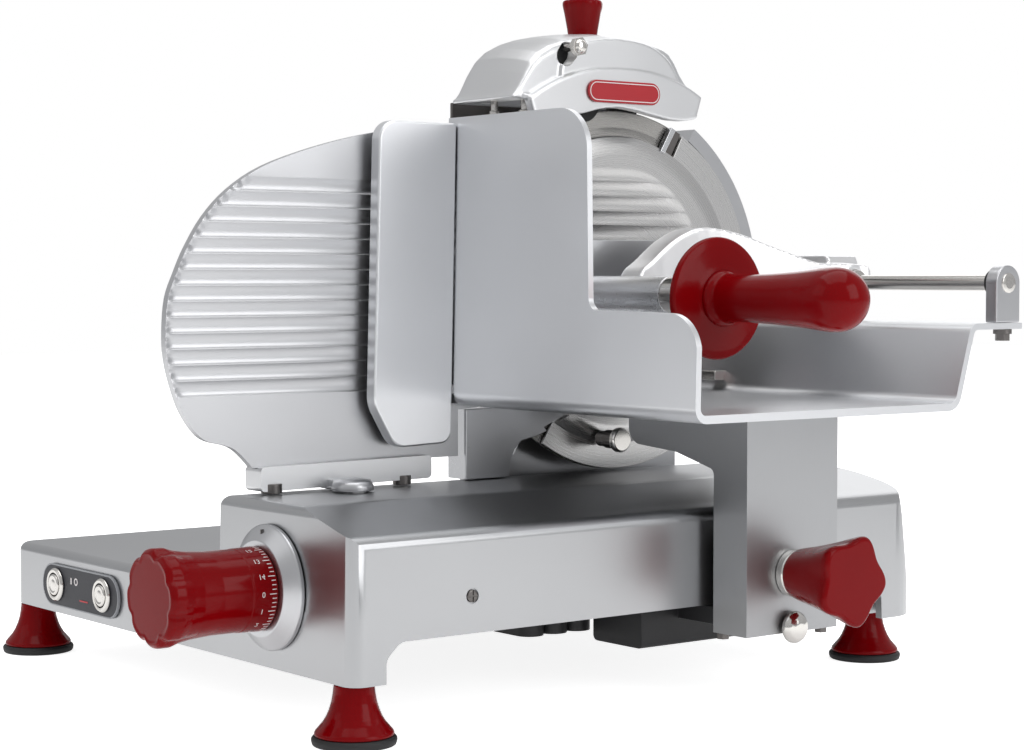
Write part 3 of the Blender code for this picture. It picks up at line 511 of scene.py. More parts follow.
def make_base():
    left, back, top, low_top, edge = -446.0, 482.0, 136.3, 79.8, 35.6
    plan = fillet([(0, 0), (0, back), (left, back), (left, 0)], [10, 30, 15, 15])
    ledge = Piece("ledge", prism(plan, "Z", 20, low_top)).bevel(6, 6, 60)
    front = fillet([(0.01, 20), (0.01, 121), (-14, 124.5), (-57, top), (-148, top), (-150.6, 60),
        (-150.6, 20)], [0, 9, 16, 28, 8, 0, 0], 8)
    side = fillet([(-0.01, 10), (back + 2, 10), (back + 2, 137), (0.4, 137)], [0, 0, 0, 7], 8)
    made = Piece("base_shell", prism(plan, "Z", 20, 160))
    made.keep(prism(front, "Y", -20, 520)).keep(prism(side, "X", -500, 20))
    made.join(ledge, "UNION").keep(block((-500, 20), (-20, 520), (edge, 170)))
    rear = []
    for z, inset in ((15, -1.0), (60, 4.0), (98, 8.5), (106, 9.4), (112, 10.5), (117, 11.6), (121, 12.9),
                     (124.5, 14.3), (127.5, 16.0), (130, 18.0), (132, 20.2), (133.6, 22.8), (134.8, 25.6),
                     (135.8, 28.6), (136.5, 32.0), (170, 33)):
        deep = back - inset
        outline = fillet([(6, -10), (6, deep), (left - 6, deep), (left - 6, -10)], [0, 34, 20, 0], 10)
        rear.append([(x, y, z) for x, y in outline])
    made.keep(loft(rear))
    hollow = Piece("hollow", prism([(-5.5, 10), (-5.5, 112), (-16, 118.5), (-57, 130), (-142.5, 130),
                                    (-142.5, 74.3), (-441.5, 74.3), (-441.5, 10)], "Y", 6, 464))
    hollow.keep(prism(fillet([(-4.5, 5), (-4.5, 477), (-442.5, 477), (-442.5, 5)], [6, 26, 12, 12], 6),
                      "Z", 5, 150))
    made.join(hollow, "DIFFERENCE")
    for x, y in (((-36, -3), (3, 22)), ((-55.6, -22), (446, 474)), ((-442, -408), (5, 36)),
                 ((-442, -408), (440, 472))):
        made.add(block(x, y, (edge, 76)))
    arch = fillet([(24, 0), (24, 50), (34, 59.5), (430, 60), (438, 52), (440, 0)], [0, 8, 10, 6, 6, 0], 8)
    made.cut(prism(arch, "X", -8, 20))
    for x in BUTTONS.values():
        made.cut(bar("Y", -10, 14, (x, BUTTON_Z), 8.4))
    made.cut(bar("Y", -10, 14, DIAL, 7))
    made.cut(bar("X", -160, -138, MOTOR, 6), block((-132, -102), (69, 85), (120, 150)))
    made.cut(bar("X", -1.2, 4, SIDE_SCREW, 4.6))
    made.bevel(1.0, 3, 34)
    made.done("base", BASE, "base_casting", 34)
    head = [(-1.1, 0), (-1.1, 3.9), (0.2, 3.9), (0.6, 3.0), (0.7, 0)]
    screw = Piece("side_screw", lathe(head, 0.4, "X", SIDE_SCREW, 40))
    screw.cut(block((0.0, 2), (82, 90), (81.5, 82.5)), block((0.0, 2), (85.5, 86.5), (78, 86)))
    screw.done("base", DARK_STEEL)


def make_underside():
    cut = 72
    plan = [(-130, 7), (-130, 463), (-440 + cut, 463), (-440, 463 - cut), (-440, 7 + cut), (-440 + cut, 7)]
    cover = Piece("bottom_plate", prism(plan, "Z", 38, 41))
    cover.cut(*[block((-400, -180), (80 + 22 * k, 88 + 22 * k), (30, 50)) for k in range(14)])
    cover.bevel(0.6, 2).done("base", BLACK, "bottom_cover")
    wave = [(-129.6, 200)]
    for k in range(3):
        wave += arc((-104, 210 + 20 * k), 9.8, -90, 90, 14)
    wave += [(-129.6, 262)]
    Piece("sump_shell", prism(wave, "Z", 33.5, 64)).bevel(1.0, 3).done("base", BLACK, "sump_cover")
    Piece("guide_bar", bar("Y", 6.3, 463.7, GUIDE, 7, 40, 0.8)).done("base", ROD_STEEL, "guide_rod")
    gland = [(482.3, 0), (482.3, 10), (486, 10), (488, 7.5), (497, 6.5), (497, 4), (486, 4), (486, 0)]
    Piece("cable_inlet", lathe(gland, 0.7, "Y", (-300, 58), 40)).done("base", BLACK, "cable_gland")
    runner = fillet([(-88, 28), (-38, 28), (-38, 70), (-88, 70)], [4] * 4, 5)
    shoe = Piece("shoe", prism(runner, "Y", 252, 376))
    upright = fillet([(-42, 46), (30.5, 45.5), (30.5, 104), (12, 104), (12, 57.5), (-42, 57.5)],
                     [0, 9.5, 3, 3, 2, 0], 5)
    shoe.add(prism(upright, "Y", 284, 345))
    shoe.cut(bar("Y", 240, 390, GUIDE, 7.35, 32)).cut(bar("Y", 270, 360, HINGE, 4.4, 24))
    shoe.bevel(0.8, 2).done("slide", BLACK, "slide_block")


def make_feet():
    cone = [(5.6, 0), (5.6, 23.2), (6.6, 23.6), (8.0, 23.1), (10.2, 21.2), (13.2, 18.6), (16.6, 16.5),
        (20.5, 14.8), (25, 13.4), (30, 12.5), (35.4, 11.9), (35.4, 0)]
    pad = round_line([(0, 0), (0, 24.4), (2.4, 25.2), (4.0, 25.2), (5.4, 23.8), (5.4, 0)], 0.9)
    for side, centre in FEET.items():
        Piece("cone_" + side, lathe(cone, 0.9, "Z", centre, 72)).done("base", RED, "foot_" + side, 40)
        Piece("tread_" + side, turned(pad, "Z", centre, 72)).done("base", RUBBER, "pad_" + side, 40)


def make_controls():
    panel = Piece("panel_plate", prism(capsule(PANEL_MIDDLE, 113, 29), "Y", -2.2, -0.3))
    for x in BUTTONS.values():
        panel.cut(bar("Y", -6, 3, (x, BUTTON_Z), 8.4))
    panel.bevel(0.7, 3).done("base", PANEL, "control_panel")
    Piece("panel_rim", capsule_frame(PANEL_MIDDLE, 113.4, 29.4, 1.1, "Y", -2.4, -0.3)).bevel(0.35, 2).done(
        "base", PANEL_EDGE)
    for key, x in BUTTONS.items():
        ring = round_line([(-2.4, 8.5), (-2.4, 11.8), (-3.6, 11.7), (-4.9, 10.6), (-4.6, 8.5)], 0.7, 6)
        Piece("ring_" + key, turned(ring, "Y", (x, BUTTON_Z), 72)).done("base", CHROME, "bezel_" + key, 40)
        cap = [(6, 0), (6, 5), (0, 5), (0, 7.6), (-4.9, 7.6), (-5.6, 6.2), (-5.0, 4.2), (-5.9, 0)]
        Piece("push_" + key, lathe(cap, 0.8, "Y", (x, BUTTON_Z), 64)).done(
            key + "_button", CHROME, "button_" + key, 40)
    # plain marks between the buttons: a short bar, a small ring and a fine line
    Piece("mark_bar", block((-349.4, -348.0), (-2.5, -2.1), (58.5, 63.0))).done(
        "base", MARK_WHITE, slot="panel_grey")
    mark = [(-2.5, 1.7), (-2.5, 2.6), (-2.1, 2.6), (-2.1, 1.7)]
    Piece("mark_ring", turned(mark, "Y", (-341.5, 60.8), 32)).done("base", MARK_WHITE, slot="panel_grey")
    Piece("mark_line", block((-336, -324), (-2.5, -2.1), (48.0, 48.9))).done("base", MARK_RED)


def make_dial():
    collar = [(-0.3, 6.8), (-0.3, 38.3), (-2.6, 38.3), (-3.6, 37.6), (-9.9, 29.2), (-9.9, 6.8)]
    Piece("dial_cone", lathe(collar, 0.7, "Y", DIAL, 112)).cut(
        bar("Y", -12, -8.9, (DIAL[0], DIAL[1] + 31.3), 0.8, 16)).done("base", CAST, "dial_collar", 28)
    index = block((DIAL[0] - 0.45, DIAL[0] + 0.45), (-7.4, -5.2), (DIAL[1] + 32.6, DIAL[1] + 35.4))
    Piece("index_line", index).done("base", DARK_STEEL)
    deep = [(-10.2, 0.0), (-46, 0.0), (-62, 0.018), (-70, 0.05), (-74, 0.085), (-84, 0.085)]

    def lobes(along, turn):
        t = (turn * 8 / (2 * math.pi) + 0.35) % 1
        notch = math.exp(-((min(t, 1 - t)) / 0.17) ** 2)
        return 1 - between(deep, along) * notch

    knob = [(-10.2, 0), (-10.2, 25.0), (-11.6, 25.5), (-26.5, 25.2), (-27.2, 24.9), (-46, 24.9), (-60, 26.0),
            (-68, 27.4), (-71.5, 28.6, 1.0), (-73.5, 29.3, 1.2), (-80.6, 29.3, 1.8), (-83.2, 26.6, 1.0),
            (-82.7, 24.0, 0.8), (-83.0, 0)]
    Piece("dial_shell", lathe(knob, 0.8, "Y", DIAL, 160, lobes)).done(
        "dial", RED, ["thickness_dial", "dial_shaft"], 50)
    Piece("dial_spindle", bar("Y", -9.9, 60, DIAL, 6.2, 36)).done("dial", CHROME)
    ticks = []
    sides = [(0, 1, 3, 2), (4, 6, 7, 5), (0, 4, 5, 1), (2, 3, 7, 6), (0, 2, 6, 4), (1, 5, 7, 3)]
    for k in range(TICKS):
        turn, half_width = 2 * math.pi * k / TICKS, 0.010
        end = -14.6 if k % TICKS_PER_NUMBER else -16.4
        corners = [(DIAL[0] + (25.55 + depth) * math.cos(turn + side), along,
                    DIAL[1] + (25.55 + depth) * math.sin(turn + side))
                   for depth in (-0.35, 0.10) for along in (-11.8, end) for side in (-half_width, half_width)]
        ticks.append((corners, sides))
    Piece("dial_ticks", *ticks).done("dial", MARK_WHITE)
    points, faces = [], []
    for k in range(TICKS // TICKS_PER_NUMBER):
        text = bpy.data.curves.new("digits", "FONT")
        text.body, text.size, text.extrude = str(k), 4.6, 0.12
        text.align_x, text.align_y = "CENTER", "CENTER"
        holder = bpy.data.objects.new("digits", text)
        bpy.context.scene.collection.objects.link(holder)
        bpy.context.view_layer.update()
        mesh = bpy.data.meshes.new_from_object(holder.evaluated_get(bpy.context.evaluated_depsgraph_get()))
        middle = -2 * math.pi * k * TICKS_PER_NUMBER / TICKS
        start = len(points)
        for v in mesh.vertices:
            turn = middle - v.co.y / 25.3
            r = 25.28 + v.co.z
            points.append((DIAL[0] + r * math.cos(turn), -20.6 + v.co.x, DIAL[1] + r * math.sin(turn)))
        faces += [tuple(start + i for i in f.vertices) for f in mesh.polygons]
        bpy.data.objects.remove(holder)
        bpy.data.meshes.remove(mesh)
    Piece("dial_digits", (points, faces)).done("dial", MARK_WHITE)


# ---------------- gauge plate

def scallops(y, z, crests, front, back, depth, reach):
    """A slab whose face at +X has concave flutes between the crest heights. reach(y, z) fades them to 0."""
    ys = [y[0] + k * 0.8 for k in range(int((y[1] - y[0]) / 0.8) + 1)]
    zs = [z[0]]
    for low, high in zip(crests, crests[1:]):
        zs += [low + (high - low) * k / 12 for k in range(12)]
    zs += [crests[-1], z[1]]
    rings = []
    for v in zs:
        drop = 0.0
        for low, high in zip(crests, crests[1:]):
            if low < v < high:
                t = (v - low) / (high - low)
                drop = depth * (math.sin(math.pi * t ** 0.72)) ** 0.8
        rings.append([(front - drop * reach(u, v), u, v) for u in ys])
    count = len(ys)
    points = [p for ring in rings for p in ring] + [(back, u, v) for v in zs for u in ys]
    half = count * len(zs)
    faces = []
    for k in range(len(zs) - 1):
        for i in range(count - 1):
            a = k * count + i
            faces += [(a, a + 1, a + count + 1, a + count),
                      (half + a, half + a + count, half + a + count + 1, half + a + 1)]
    edge = ([k for k in range(count)] + [k * count + count - 1 for k in range(1, len(zs))]
            + [(len(zs) - 1) * count + k for k in range(count - 2, -1, -1)]
            + [k * count for k in range(len(zs) - 2, 0, -1)])
    for a, b in zip(edge, edge[1:] + edge[:1]):
        faces.append((a, half + a, half + b, b))
    return points, faces


def make_gauge():
    outline = smooth_line([(13, 153), (5, 161), (-4, 167), (-20, 171), (-29, 177), (-38, 189), (-44, 203),
                           (-49, 221), (-50, 239), (-48, 259), (-42, 274), (-34, 290), (-21, 309), (-3, 326),
                           (23, 341), (62, 354), (103, 364), (150, 371), (200, 376), (250, 378)], 4)
    outline = [(y + max(0.0, 60 - y) * 0.040, z) for y, z in outline]
    start = math.degrees(math.atan2(378 - BLADE[1], -math.sqrt(129 ** 2 - (378 - BLADE[1]) ** 2)))
    line = outline + arc(BLADE, 129, start, 216.4, 60) + [(173, 184), (173, 153)]
    crests = [198.5 + (334.5 - 198.5) * k / FLUTES for k in range(FLUTES + 1)]

    def reach(y, z):
        gap = min(math.hypot(y - u, z - v) for u, v in outline[12:70]) if y < 100 else 99.0
        fade = min(max((gap - 0.4) / 5.5, 0.0), 1.0)
        return fade * (2 - fade)

    plate = Piece("gauge_face", scallops((-60, 260), (140, 390), crests, -133.3, -139, 1.35, reach))
    plate.keep(prism(line, "X", -145, -125))
    plate.done("gauge", GAUGE, "gauge_plate", 26)
    bar_line = fillet([(17, 138.2), (147, 140.4), (147, 155.4), (17, 153.6)], [3, 3, 3, 3], 6)
    rail = Piece("gauge_rail", prism(bar_line, "X", -146, -127))
    rail.cut(block((-139.3, -133.0), (10, 160), (152.5, 165)))
    rail.bevel(1.0, 4).done("gauge", HEAD, "gauge_bracket", 34)
    arm = fillet([(-139, 67), (-104, 64), (-103, 89), (-139, 89)], [0, 12, 12, 0], 8)
    stem = lathe([(112, 0), (112, 6), (144, 6), (145, 4.6), (145, 0)], 1.0, "Z", (-110.5, 77), 40)
    dome = [(137.2, 0), (137.2, 13.5), (140.4, 13.5), (143, 12), (144.8, 8), (145.4, 0)]
    boss = Piece("gauge_boss", prism(arm, "Z", 137.4, 144), stem, turned(dome, "Z", (-112, 75), 40))
    boss.cast(0.9, 5).done("gauge", CAST)
    for end, y, r in (("front", 27, 6.6), ("rear", 126, 6.0)):
        Piece("rail_stud_" + end, bar("Z", 136.9, 143, (-131, y), r, 40, 0.6)).done("gauge", DARK_STEEL)


# ---------------- blade and its housing

def make_blade():
    edge = round_line([(-136, 9), (-136, 110), (-134.6, 124.4), (-133.4, 125.0), (-133.2, 124.2),
        (-134.2, 113.5), (-133.8, 110), (-133.8, 9)], 0.25, 3)
    Piece("blade_disc", turned(edge, "X", BLADE, 192)).done("blade_rotor", BLADE_STEEL, "blade", 20)
    shaft = round_line([(-190, 0), (-190, 12), (-140.6, 12), (-140.6, 26), (-136.3, 26), (-136.3, 8.6),
                        (-134.2, 8.6), (-134.2, 0)], 0.5)
    Piece("blade_spindle", turned(shaft, "X", BLADE, 64)).done("blade_rotor", CHROME, "blade_shaft")
    wheel = round_line([(-188, 12.3), (-188, 47), (-186.6, 45), (-175.4, 45), (-174, 47), (-174, 12.3)], 0.4)
    Piece("big_pulley", turned(wheel, "X", BLADE, 80)).done("blade_rotor", CAST, "blade_pulley")
    small = round_line([(-188, 0), (-188, 13.2), (-186.6, 12), (-175.4, 12), (-174, 13.2), (-174, 4),
        (-62, 4), (-62, 0)], 0.3)
    Piece("small_pulley", turned(small, "X", MOTOR, 48)).done("motor_rotor", CHROME, "motor_pulley")
    drum = round_line([(-142.2, 7), (-142.2, 21), (-138, 24.4), (-58, 24.4), (-58, 7)], 1.0)
    Piece("motor_drum", turned(drum, "X", MOTOR, 56)).done("base", BLACK, "motor")
    outer = belt_line(MOTOR, 14.6, BLADE, 47.6)
    inner = belt_line(MOTOR, 12.5, BLADE, 45.5)
    Piece("belt_loop", hollow_prism(outer, inner, "X", -186, -176)).done("base", RUBBER, "drive_belt")


def make_housing():
    plate = [(222, 128), (383, 128), (383, 160), (424, 190)] + arc(BLADE, RING_OUT, -32, 57, 48)
    plate += fillet([(372, 368), (330, 330), (318, 380), (284, 380), (272, 300), (262, 225), (222, 166)],
                    [0, 12, 0, 0, 0, 14, 4], 8)
    made = Piece("housing", prism(plate, "X", -168, -153))
    ring = arc(BLADE, RING_OUT, -32, 57, 64) + arc(BLADE, RING_IN, 57, -32, 64)
    made.add(prism(ring, "X", BLADE_BACK, BLADE_FACE))
    neck = [(180, 136.8), (215.6, 136.8), (216.9, 141), (218.4, 148), (221, 155.2), (226.6, 160.7),
            (238, 163.3), (252, 168), (252, 183.4), (180, 183.4)]
    nose = Piece("nose", prism(neck, "X", -154, BLADE_FACE))
    nose.cut(bar("X", -141.5, -120, BLADE, RING_IN, 160))
    made.join(nose, "UNION")
    foot = [(-168, 80.3), (-161, 80.3), (-152.6, 92.5), (-152.6, 137.6), (-168, 137.6)]
    made.add(prism(foot, "Y", 200, 383)).add(block((-168, -152.6), (200, 383), (136, 150)))
    made.add(bar("X", -160, -141, BLADE, 34, 72))
    made.cut(bar("X", -190, -120, BLADE, 12.6, 56)).cut(bar("X", -190, -120, MOTOR, 6, 32))
    made.bevel(1.1, 3, 34).done("base", CAST, "blade_housing", 34)
    cover = Piece("belt_cover", prism(belt_line((BLADE[0], 108), 24, BLADE, 56, 64), "X", -203, -168.3))
    cover.cut(prism(belt_line((BLADE[0], 108), 21, BLADE, 53, 64), "X", -200, -160))
    cover.bevel(2.2, 5, 40).done("base", CAST, "pulley_cover", 34)
    head = [(-205.4, 0), (-205.4, 2.6), (-203.4, 4.4), (-202.6, 4.4), (-202.6, 0)]
    for name, (y, z) in {"top": (BLADE[0], 306), "mid": (BLADE[0], 205), "low": (BLADE[0], 96)}.items():
        screw = Piece("cover_screw_" + name, lathe(head, 0.5, "X", (y, z), 36))
        screw.cut(hexagon("X", -207, -204.2, (y, z), 3.0)).done("base", CHROME)


def make_cover():
    crests = [298.2, 307.9, 317.4, 327.6, 337.8, 348.0]

    def reach(y, z):
        r = math.hypot(max(y - BLADE[0], 0.0), z - BLADE[1])
        limit = 86 - (348 - z) * 0.13
        fade = min(max((limit - r) / 14.0, 0.0), 1.0)
        left = min(max((100 - math.hypot(y - BLADE[0], z - BLADE[1])) / 14.0, 0.0), 1.0)
        return fade * (2 - fade) * left

    disc = Piece("cover_face", scallops((190, 430), (140, 390), crests, -127.9, -132.4, 1.15, reach))
    dish = [(-132.4, 0), (-132.4, 107.4), (-130.6, 107.4), (-127.9, 98, 5), (-127.8, 0)]
    disc.keep(lathe(dish, 2.0, "X", BLADE, 160, curve=8))
    joint = [(264.4, 190), (264.4, 177.7), (243.4, 169.5), (246.5, 166.8), (235, 163.3), (224, 160.9),
        (218.4, 155.4), (215.2, 148), (214.2, 141.2), (213, 136.9)]
    disc.cut(prism([(y + 0.7, z - 0.5) for y, z in joint] + [(150, 130), (150, 190)], "X", -140, -120))
    disc.done("base", COVER, "blade_cover", 30)
    cheek = Piece("front_cheek", prism(joint + [(177.3, 136.9), (177.3, 184), (205.6, 184.4), (207, 190)],
                                       "X", -132.9, -130.2))
    cheek.bevel(0.6, 3).done("base", CAST)
    flank = arc(BLADE, 124.4, -123.0, 61.5, 96) + arc(BLADE, 96, 61.5, -123.0, 96)
    sector = Piece("cover_flank", prism(flank, "X", -132.6, -130.6))
    sector.bevel(0.5, 3).done("base", COVER, angle=30)
    notch_line = [polar(BLADE, r, t) for r, t in ((105, 66.8), (124.6, 65.4), (124.6, 67.6), (105, 69.2))]
    notch = Piece("cover_notch", prism(notch_line, "X", -133.0, -128.6))
    notch.bevel(0.5, 3).done("base", EDGE)
    # dark strip in the gap between the flank and the notch: painted shade in the slot
    gap_line = [polar(BLADE, r, t) for r, t in ((104, 62.6), (125, 62.2), (125, 65.2), (104, 66.4))]
    Piece("cover_gap", prism(gap_line, "X", -133.1, -131.4)).done("base", DARK_STEEL)
    knob = [(-108.6, 0), (-108.6, 7.6), (-107.6, 8.6), (-104.6, 8.6), (-103.5, 7.4), (-103.5, 0)]
    Piece("cover_nut", lathe(knob, 0.6, "X", COVER_NUT, 56)).done("cover_screw", CHROME, "cover_knob", 40)

    def knurl(along, turn):
        return 1 - 0.05 * (along > -119) * (0.5 + 0.5 * math.cos(turn * 18))

    grip = [(-126.9, 0), (-126.9, 5.4), (-120, 5.4), (-119, 6.4), (-108.5, 6.4), (-108.5, 0)]
    Piece("cover_nut_shank", lathe(grip, 0.5, "X", COVER_NUT, 72, knurl)).done(
        "cover_screw", DARK_STEEL, angle=40)


# ---------------- carriage

def make_carriage():
    floor, left, right = 187.4, -117.2, 117.6
    profile = fillet([(161.6, 380), (157.3, floor), (381.5, floor), (396.5, 238.3), (442, 238.3),
        (442, 242.3), (393.2, 242.3), (378.2, 192.3), (161.4, 192.3), (165.6, 380)],
        [0, 9, 12, 4, 0, 0, 8, 7, 4, 0], 10)
    tray = Piece("tray_sheet", prism(profile, "X", -127.5, right))
    edge = fillet([(-140, 375.8), (14.5, 375.8), (20, 251.8), (118.2, 250.6), (118.2, 180)],
        [0, 28, 8, 25, 0], 16)
    tray.cut(prism(edge + [(160, 180), (160, 400), (-140, 400)], "Y", 140, 176))
    tray.cut(block((-130, left), (140, 161.6), (150, 400)))
    tray.bevel(1.7, 5, 40, second=True)
    tray.done("carriage", [SHEET, EDGE], "carriage_tray", 34)
    guard_line = fillet([(100.5, 372), (161.0, 372), (157.2, 196), (156.6, 163.5), (112, 162), (95.5, 190)],
                        [13, 3, 0, 9, 14, 22], 12)
    guard = Piece("guard_plate", prism(guard_line, "X", -127.5, -117.6))
    guard.bevel(1.5, 5, 40, second=True)
    guard.done("carriage", [SHEET, EDGE], "finger_guard", 34)
    for k, (y, z) in enumerate(((100.4, 349.6), (97.9, 238))):
        Piece(f"guard_screw_{k}", bar("Y", y + 2, y - 0.25, (-122.5, z), 2.6, 28, 0.3)).cut(
            hexagon("Y", y - 2, y + 0.4, (-122.5, z), 2.4)).done("carriage", DARK_STEEL)
    outline = fillet([(7, 43), (38, 43), (38, 187.1), (-77, 187.1), (-77, 161), (-30, 157.5), (7, 148)],
                     [0, 0, 4, 3, 12, 30, 5], 10)
    arm = Piece("column", prism(outline, "Y", 274, 355))
    inside = [(33, 30), (33, 182.5), (-72, 182.5), (-72, 150), (-90, 145), (-90, 30)]
    arm.cut(prism(inside, "Y", 279, 350))
    arm.cut(bar("Y", 275.6, 353.4, HINGE, 4.3, 28)).cut(bar("X", 25, 50, (STAR[0], STAR[1] + 3), 8.4, 32))
    arm.cut(bar("X", 25, 50, PIN, 4.5, 32)).cut(block((25, 50), (PIN[0] - 4.5, PIN[0] + 4.5), (30, 48)))
    arm.bevel(1.3, 4, 34)
    arm.done("carriage", BRACKET, "carriage_arm", 34)
    Piece("hinge_bar", bar("Y", 275.9, 353.1, HINGE, 4, 32, 0.5)).done("carriage", CHROME, "tilt_pin", 40)
    for k, (x, y) in enumerate(((-14, 296), (-14, 333))):
        tip = turned([(175.6, 0), (175.6, 4.4), (177.6, 4.6), (177.6, 0)], "Z", (x, y), 28)
        Piece(f"tray_bolt_{k}", hexagon("Z", 177.6, 181.4, (x, y), 9.5), tip).done("carriage", CHROME)
    for k, x in enumerate((10.5, 29.0)):
        Piece(f"column_bolt_{k}", hexagon("Z", 38.8, 42.9, (x, 279.4 + 70 * k), 7.6, 15)).bevel(0.4, 2).done(
            "carriage", DARK_STEEL)
    block_line = fillet([(371.5, 199), (382.5, 199), (383.5, 206), (371.5, 206)], [1, 1, 1, 2], 5)
    Piece("tray_stop", prism(block_line, "X", -112, -98)).bevel(0.6, 2).done("carriage", CHROME)


def make_rod():
    Piece("slide_rod", bar("X", -114.5, 118.2, ROD, ROD_R, 64, 0.8)).done(
        "carriage", ROD_STEEL, "pusher_rod")
    for name, low, high in (("left", -114, -106.5), ("right", 108.2, 117.4)):
        outline = [(ROD[0] - 11.5, 242.6), (ROD[0] + 11.5, 242.6)] + arc(ROD, 11.5, 0, 180, 32)
        ear = Piece("rod_ear_" + name, prism(outline, "X", low, high))
        ear.cut(bar("X", low - 5, high + 5, ROD, ROD_R + 0.3, 56))
        ear.bevel(0.9, 3).done("carriage", CAST, "rod_bracket_" + name, 34)
        Piece("rod_screw_" + name, hexagon("Z", 230.8, 235.2, ((low + high) / 2, ROD[0]), 8.5, 20),
            bar("Z", 235.2, 238.2, ((low + high) / 2, ROD[0]), 6.0, 40)).done("carriage", DARK_STEEL)
    end = [(117.0, 0), (117.0, 6.6), (118.2, 6.4), (118.6, 4.0), (118.6, 0)]
    Piece("rod_end_screw", lathe(end, 0.5, "X", ROD, 48)).done("carriage", CHROME)
    buffer = [(103.6, ROD_R + 0.3), (103.6, 8.0), (105, 8.8), (107.9, 8.8), (107.9, ROD_R + 0.3)]
    Piece("rod_buffer", lathe(buffer, 0.7, "X", ROD, 56)).done("carriage", RUBBER, "rod_bumper", 40)
    sleeve = [(-80, ROD_R + 0.25), (-80, 8.6), (-14.6, 8.6), (-14.6, ROD_R + 0.25)]
    Piece("rod_sleeve", lathe(sleeve, 0.4, "X", ROD, 64)).done("pusher_slide", CHROME, "rod_bushing")


def make_star():
    ring = round_line([(38.3, 5.8), (38.3, 15.5), (43.2, 15.5), (44.3, 14.3), (44.3, 5.8)], 0.6)
    Piece("star_washer", turned(ring, "X", STAR, 72)).done("carriage", CHROME, "star_collar", 40)
    deep = [(31, 0), (48, 0.0), (58, 0.03), (70, 0.08), (82, 0.15), (89, 0.18), (98, 0.18)]

    def lobes(along, turn):
        t = (turn * 5 / (2 * math.pi) + 0.6) % 1
        return 1 - between(deep, along) * (0.5 + 0.5 * math.cos(2 * math.pi * t)) ** 0.85

    shape = [(31.2, 0), (31.2, 5.2), (44.6, 5.2), (44.6, 15.8, 1.0), (48, 16.9), (60, 19.8), (72, 23.6),
        (82, 27.4), (88.0, 29.6), (91.2, 30.0, 2.0), (93.2, 28.0, 1.6), (93.4, 0)]
    Piece("star_shell", lathe(shape, 2.0, "X", STAR, 160, lobes, curve=6)).done(
        "star_knob", RED, "carriage_knob", 50)
    head = round_line([(31.2, 0), (31.2, 4.1), (39.6, 4.1), (39.6, 9.2), (41.2, 10.4), (43.6, 10.3),
        (46.4, 7.9), (47.7, 3.6), (47.9, 0)], 1.2, 6)
    Piece("release_button", turned(head, "X", PIN, 64)).done("release", CHROME, "release_pin", 50)


# ---------------- pusher

def make_pusher():
    side = smooth_line([(250, 273), (262, 283), (282, 297), (305, 304.5), (335, 301), (370, 290),
        (400, 281.5), (424, 281), (440, 279), (442, 268), (434, 257), (405, 253), (375, 258), (330, 264),
        (300, 262), (278, 254), (262, 247), (244, 250)], 5, closed=True)
    web = Piece("web", prism(side, "X", -90, -14))
    plan = smooth_line([(-57.5, 224), (-38.5, 224), (-38, 270), (-37, 310), (-32, 350), (-24.5, 390),
        (-19.5, 425), (-20, 450), (-78, 450), (-78, 418), (-71, 372), (-61, 320), (-57.5, 270)],
        4, closed=True)
    web.keep(prism(plan, "Z", 200, 330))
    corners = [tuple((v.co - ORIGIN) / MM) for v in web.obj.data.vertices]
    faces = [tuple(f.vertices) for f in web.obj.data.polygons]
    bpy.data.objects.remove(web.obj)
    flat = fillet([(-66, 262), (-20, 262), (-30, 287), (-66, 287)], [0, 0, 3, 8], 5)
    arm = Piece("pusher_web", (corners, faces), bar("X", -79.3, -17.6, ROD, 12.8, 64),
        prism(flat, "Y", 413, 442))
    arm.cast(0.9, 7)
    arm.cut(block((-130, -79.4), (395, 470), (230, 310)))
    arm.cut(bar("X", -130, 0, ROD, 9.0, 56)).cut(bar("X", -130, 0, BARREL_AXIS, 11.6, 64))
    arm.done("pusher", ARM, "pusher_arm")
    Piece("pusher_barrel", bar("X", -87.4, -6.6, BARREL_AXIS, 12.1, 96, 0.8)).done("pusher", BARREL, angle=40)
    plate_line = fillet([(180, 200), (345, 198), (345, 262), (330, 297), (180, 297)], [14, 10, 16, 12, 12], 8)
    plate = Piece("pusher_face", prism(plate_line, "X", -92.8, -87.6))
    plate.bevel(1.0, 3).done("pusher", CAST, "pusher_plate", 34)
    Piece("grip_tube", bar("X", -6.2, 31.7, (GRIP[0], GRIP[1] + 1.8), 11.9, 80, 0.5)).done(
        "pusher", CHROME, "grip_collar", 40)
    guard = round_line([(32, 0), (32, 35.4), (32.8, 37.6), (34.4, 38.4), (36.4, 38.4), (37.8, 37.3),
        (38.8, 33), (40.4, 21.0), (41.2, 17.5), (41.2, 0)], 1.4, 6)
    Piece("grip_disc", turned(guard, "X", GRIP, 128)).done("pusher", RED, "grip_guard", 40)
    grip = smooth_line([(41.4, 17.6), (42.6, 17.5), (44.2, 16.8), (46.5, 15.2), (51, 14.6), (64, 14.7),
        (86, 15.4), (108, 16.7), (124, 18.2), (134, 19.1), (142, 18.9), (148, 17.0), (153, 13.2),
        (156.4, 8.0), (157.8, 3.0)], 5)
    Piece("grip_handle", turned([(41.4, 0)] + grip + [(158, 0)], "X", GRIP, 96)).done(
        "pusher", RED, "pusher_grip", 60)


# ---------------- sharpener

